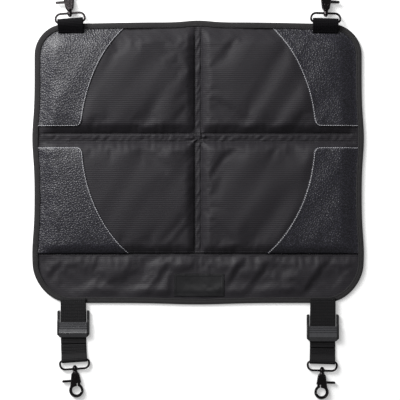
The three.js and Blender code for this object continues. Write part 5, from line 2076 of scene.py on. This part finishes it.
@dataclass
class HardParts:
    """Hard nodes of the frame that stay: they get finishes and softened edges."""

    edge_round: float = 0.25 * MM
    sharpest: float = math.radians(32)
    weld_reach: float = 0.005 * MM

    def finish_of(self, kind: Hardware) -> Finish:
        """Finish of a kind of hard node."""
        return {Hardware.LOCK: LOCK_PLASTIC, Hardware.SPRING: SPRING_STEEL}.get(kind, CAST_METAL)

    def dress(self) -> None:
        """Dresses every hard node."""
        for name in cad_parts:
            for kind in Hardware:
                if name.startswith(kind.value):
                    self.soften(bpy.data.objects[name], self.finish_of(kind))

    def soften(self, node: bpy.types.Object, finish: Finish) -> None:
        """Gives one node its finish and rounded edges.

        Args:
            node: Node of the CAD model.
            finish: Finish that it gets.
        """
        for slot in node.material_slots:
            slot.material = finish.material()
        node.data.polygons.foreach_set("use_smooth", [True] * len(node.data.polygons))
        node.modifiers.new("weld", "WELD").merge_threshold = self.weld_reach
        bevel = node.modifiers.new("edge_round", "BEVEL")
        bevel.width = self.edge_round
        bevel.segments = 2
        bevel.limit_method = "ANGLE"
        bevel.angle_limit = self.sharpest
        bevel.harden_normals = True
        node.modifiers.new("shading", "WEIGHTED_NORMAL").keep_sharp = True
        log.info("dressed %s", node.name)


# Studio


@dataclass(frozen=True)
class Lamp:
    """Square soft lamp that points at the object."""

    name: str
    place: tuple[float, float, float]
    size: float
    power: float

    def build(self) -> None:
        """Adds the lamp."""
        light = bpy.data.lights.new(self.name, "AREA")
        light.shape = "SQUARE"
        light.size = self.size
        light.energy = self.power
        shown = bpy.data.objects.new(self.name, light)
        shown.location = self.place
        shown.rotation_euler = (-Vector(self.place)).to_track_quat("-Z", "Y").to_euler()
        bpy.context.scene.collection.objects.link(shown)


@dataclass
class Studio:
    """White floor, a low broad lamp and a steep small one at the upper left, soft fill, camera above."""

    view_width: float = 0.600
    lens: float = 100.0
    film: float = 36.0
    middle: Point = (2.85 * MM, -11.7 * MM)
    low_lamp: Lamp = Lamp("low_lamp", (-1.35, 1.48, 1.3), 1.15, 89.0)
    steep_lamp: Lamp = Lamp("steep_lamp", (-0.45, 0.53, 1.35), 0.3, 5.8)
    sky: float = 0.2
    floor_half: float = 40.0
    floor_drop: float = 0.1 * MM
    floor_glow: float = 0.34
    keep_shadow: float = 0.45
    all_white: float = 1.3

    def build(self) -> None:
        """Adds the floor, the lights and the camera."""
        self.floor()
        self.lights()
        self.camera()

    def floor(self) -> None:
        """Adds the floor, white to the camera, keeping the object's shadow."""
        bm = bmesh.new()
        bmesh.ops.create_grid(bm, x_segments=1, y_segments=1, size=self.floor_half)
        floor = linked(bm, "floor")
        floor.location.z = -self.floor_drop
        paper = bpy.data.materials.new("matt_paper")
        paper.use_nodes = True
        tree = paper.node_tree
        shader = tree.nodes["Principled BSDF"]
        for socket, value in (("Base Color", (0.8, 0.8, 0.8, 1.0)), ("Roughness", 1.0),
                              ("Specular IOR Level", 0.0), ("Emission Color", (1.0, 1.0, 1.0, 1.0))):
            shader.inputs[socket].default_value = value
        rays = add_node(tree, "ShaderNodeLightPath").outputs
        place = add_node(tree, "ShaderNodeTexCoord").outputs["Object"]
        seen = rays["Is Camera Ray"]
        for ray in ("Is Glossy Ray", "Is Transmission Ray"):
            seen = add_node(tree, "ShaderNodeMath", {0: seen, 1: rays[ray]}, operation="MAXIMUM").outputs[0]
        reach = add_node(tree, "ShaderNodeVectorMath", {0: place}, operation="LENGTH").outputs["Value"]
        level = add_node(tree, "ShaderNodeMapRange", {
            "Value": reach, "From Min": self.keep_shadow, "From Max": self.all_white,
            "To Min": self.floor_glow, "To Max": 1.0}, interpolation_type="SMOOTHSTEP")
        glow = add_node(tree, "ShaderNodeMath", {0: seen, 1: level.outputs[0]}, operation="MULTIPLY")
        tree.links.new(glow.outputs[0], shader.inputs["Emission Strength"])
        floor.data.materials.append(paper)
        floor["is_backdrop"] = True

    def lights(self) -> None:
        """Adds the lamps and the pale world."""
        self.low_lamp.build()
        self.steep_lamp.build()
        world = bpy.data.worlds.new("pale_room")
        world.use_nodes = True
        world.node_tree.nodes["Background"].inputs["Color"].default_value = (1.0, 1.0, 1.0, 1.0)
        world.node_tree.nodes["Background"].inputs["Strength"].default_value = self.sky
        bpy.context.scene.world = world

    def camera(self) -> None:
        """Adds the camera, straight above and framed as the photograph is."""
        data = bpy.data.cameras.new("camera")
        data.lens = self.lens
        data.sensor_width = self.film
        data.clip_start = 0.01
        shown = bpy.data.objects.new("camera", data)
        shown.location = (*self.middle, self.view_width * self.lens / self.film)
        bpy.context.scene.collection.objects.link(shown)
        bpy.context.scene.camera = shown
        bpy.context.scene.view_settings.view_transform = "Standard"


@dataclass
class SizeReport:
    """Box of the model before it is dressed."""

    before: tuple[list[float], list[float]]

    @staticmethod
    def now() -> tuple[list[float], list[float]]:
        """Lowest and highest corners of the whole object."""
        low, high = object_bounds()
        return [float(value) for value in low], [float(value) for value in high]

    def write(self) -> None:
        """Writes nothing; the method has no body."""


def main() -> None:
    """Builds and dresses every sub-assembly in order."""
    sizes = SizeReport(SizeReport.now())
    Studio().build()
    form = MatForm()
    cloth = SettledCloth(form)
    cloth.run()
    form = replace(form, settled=cloth.lift)
    layers = ClothLayers(form)
    layers.build_back()
    layers.build_front()
    layers.build_flap()
    layers.stitch()
    FoamPads(form).build()
    for upper in (True, False):
        for side in (-1, 1):
            LeatherPatch(form, side, upper).build()
    LabelPatch(form).build()
    EdgeBinding(form).build()
    TopStraps(form).build()
    BottomStraps(form).build()
    HardParts().dress()
    sizes.write()


if __name__ == "__main__":
    main()
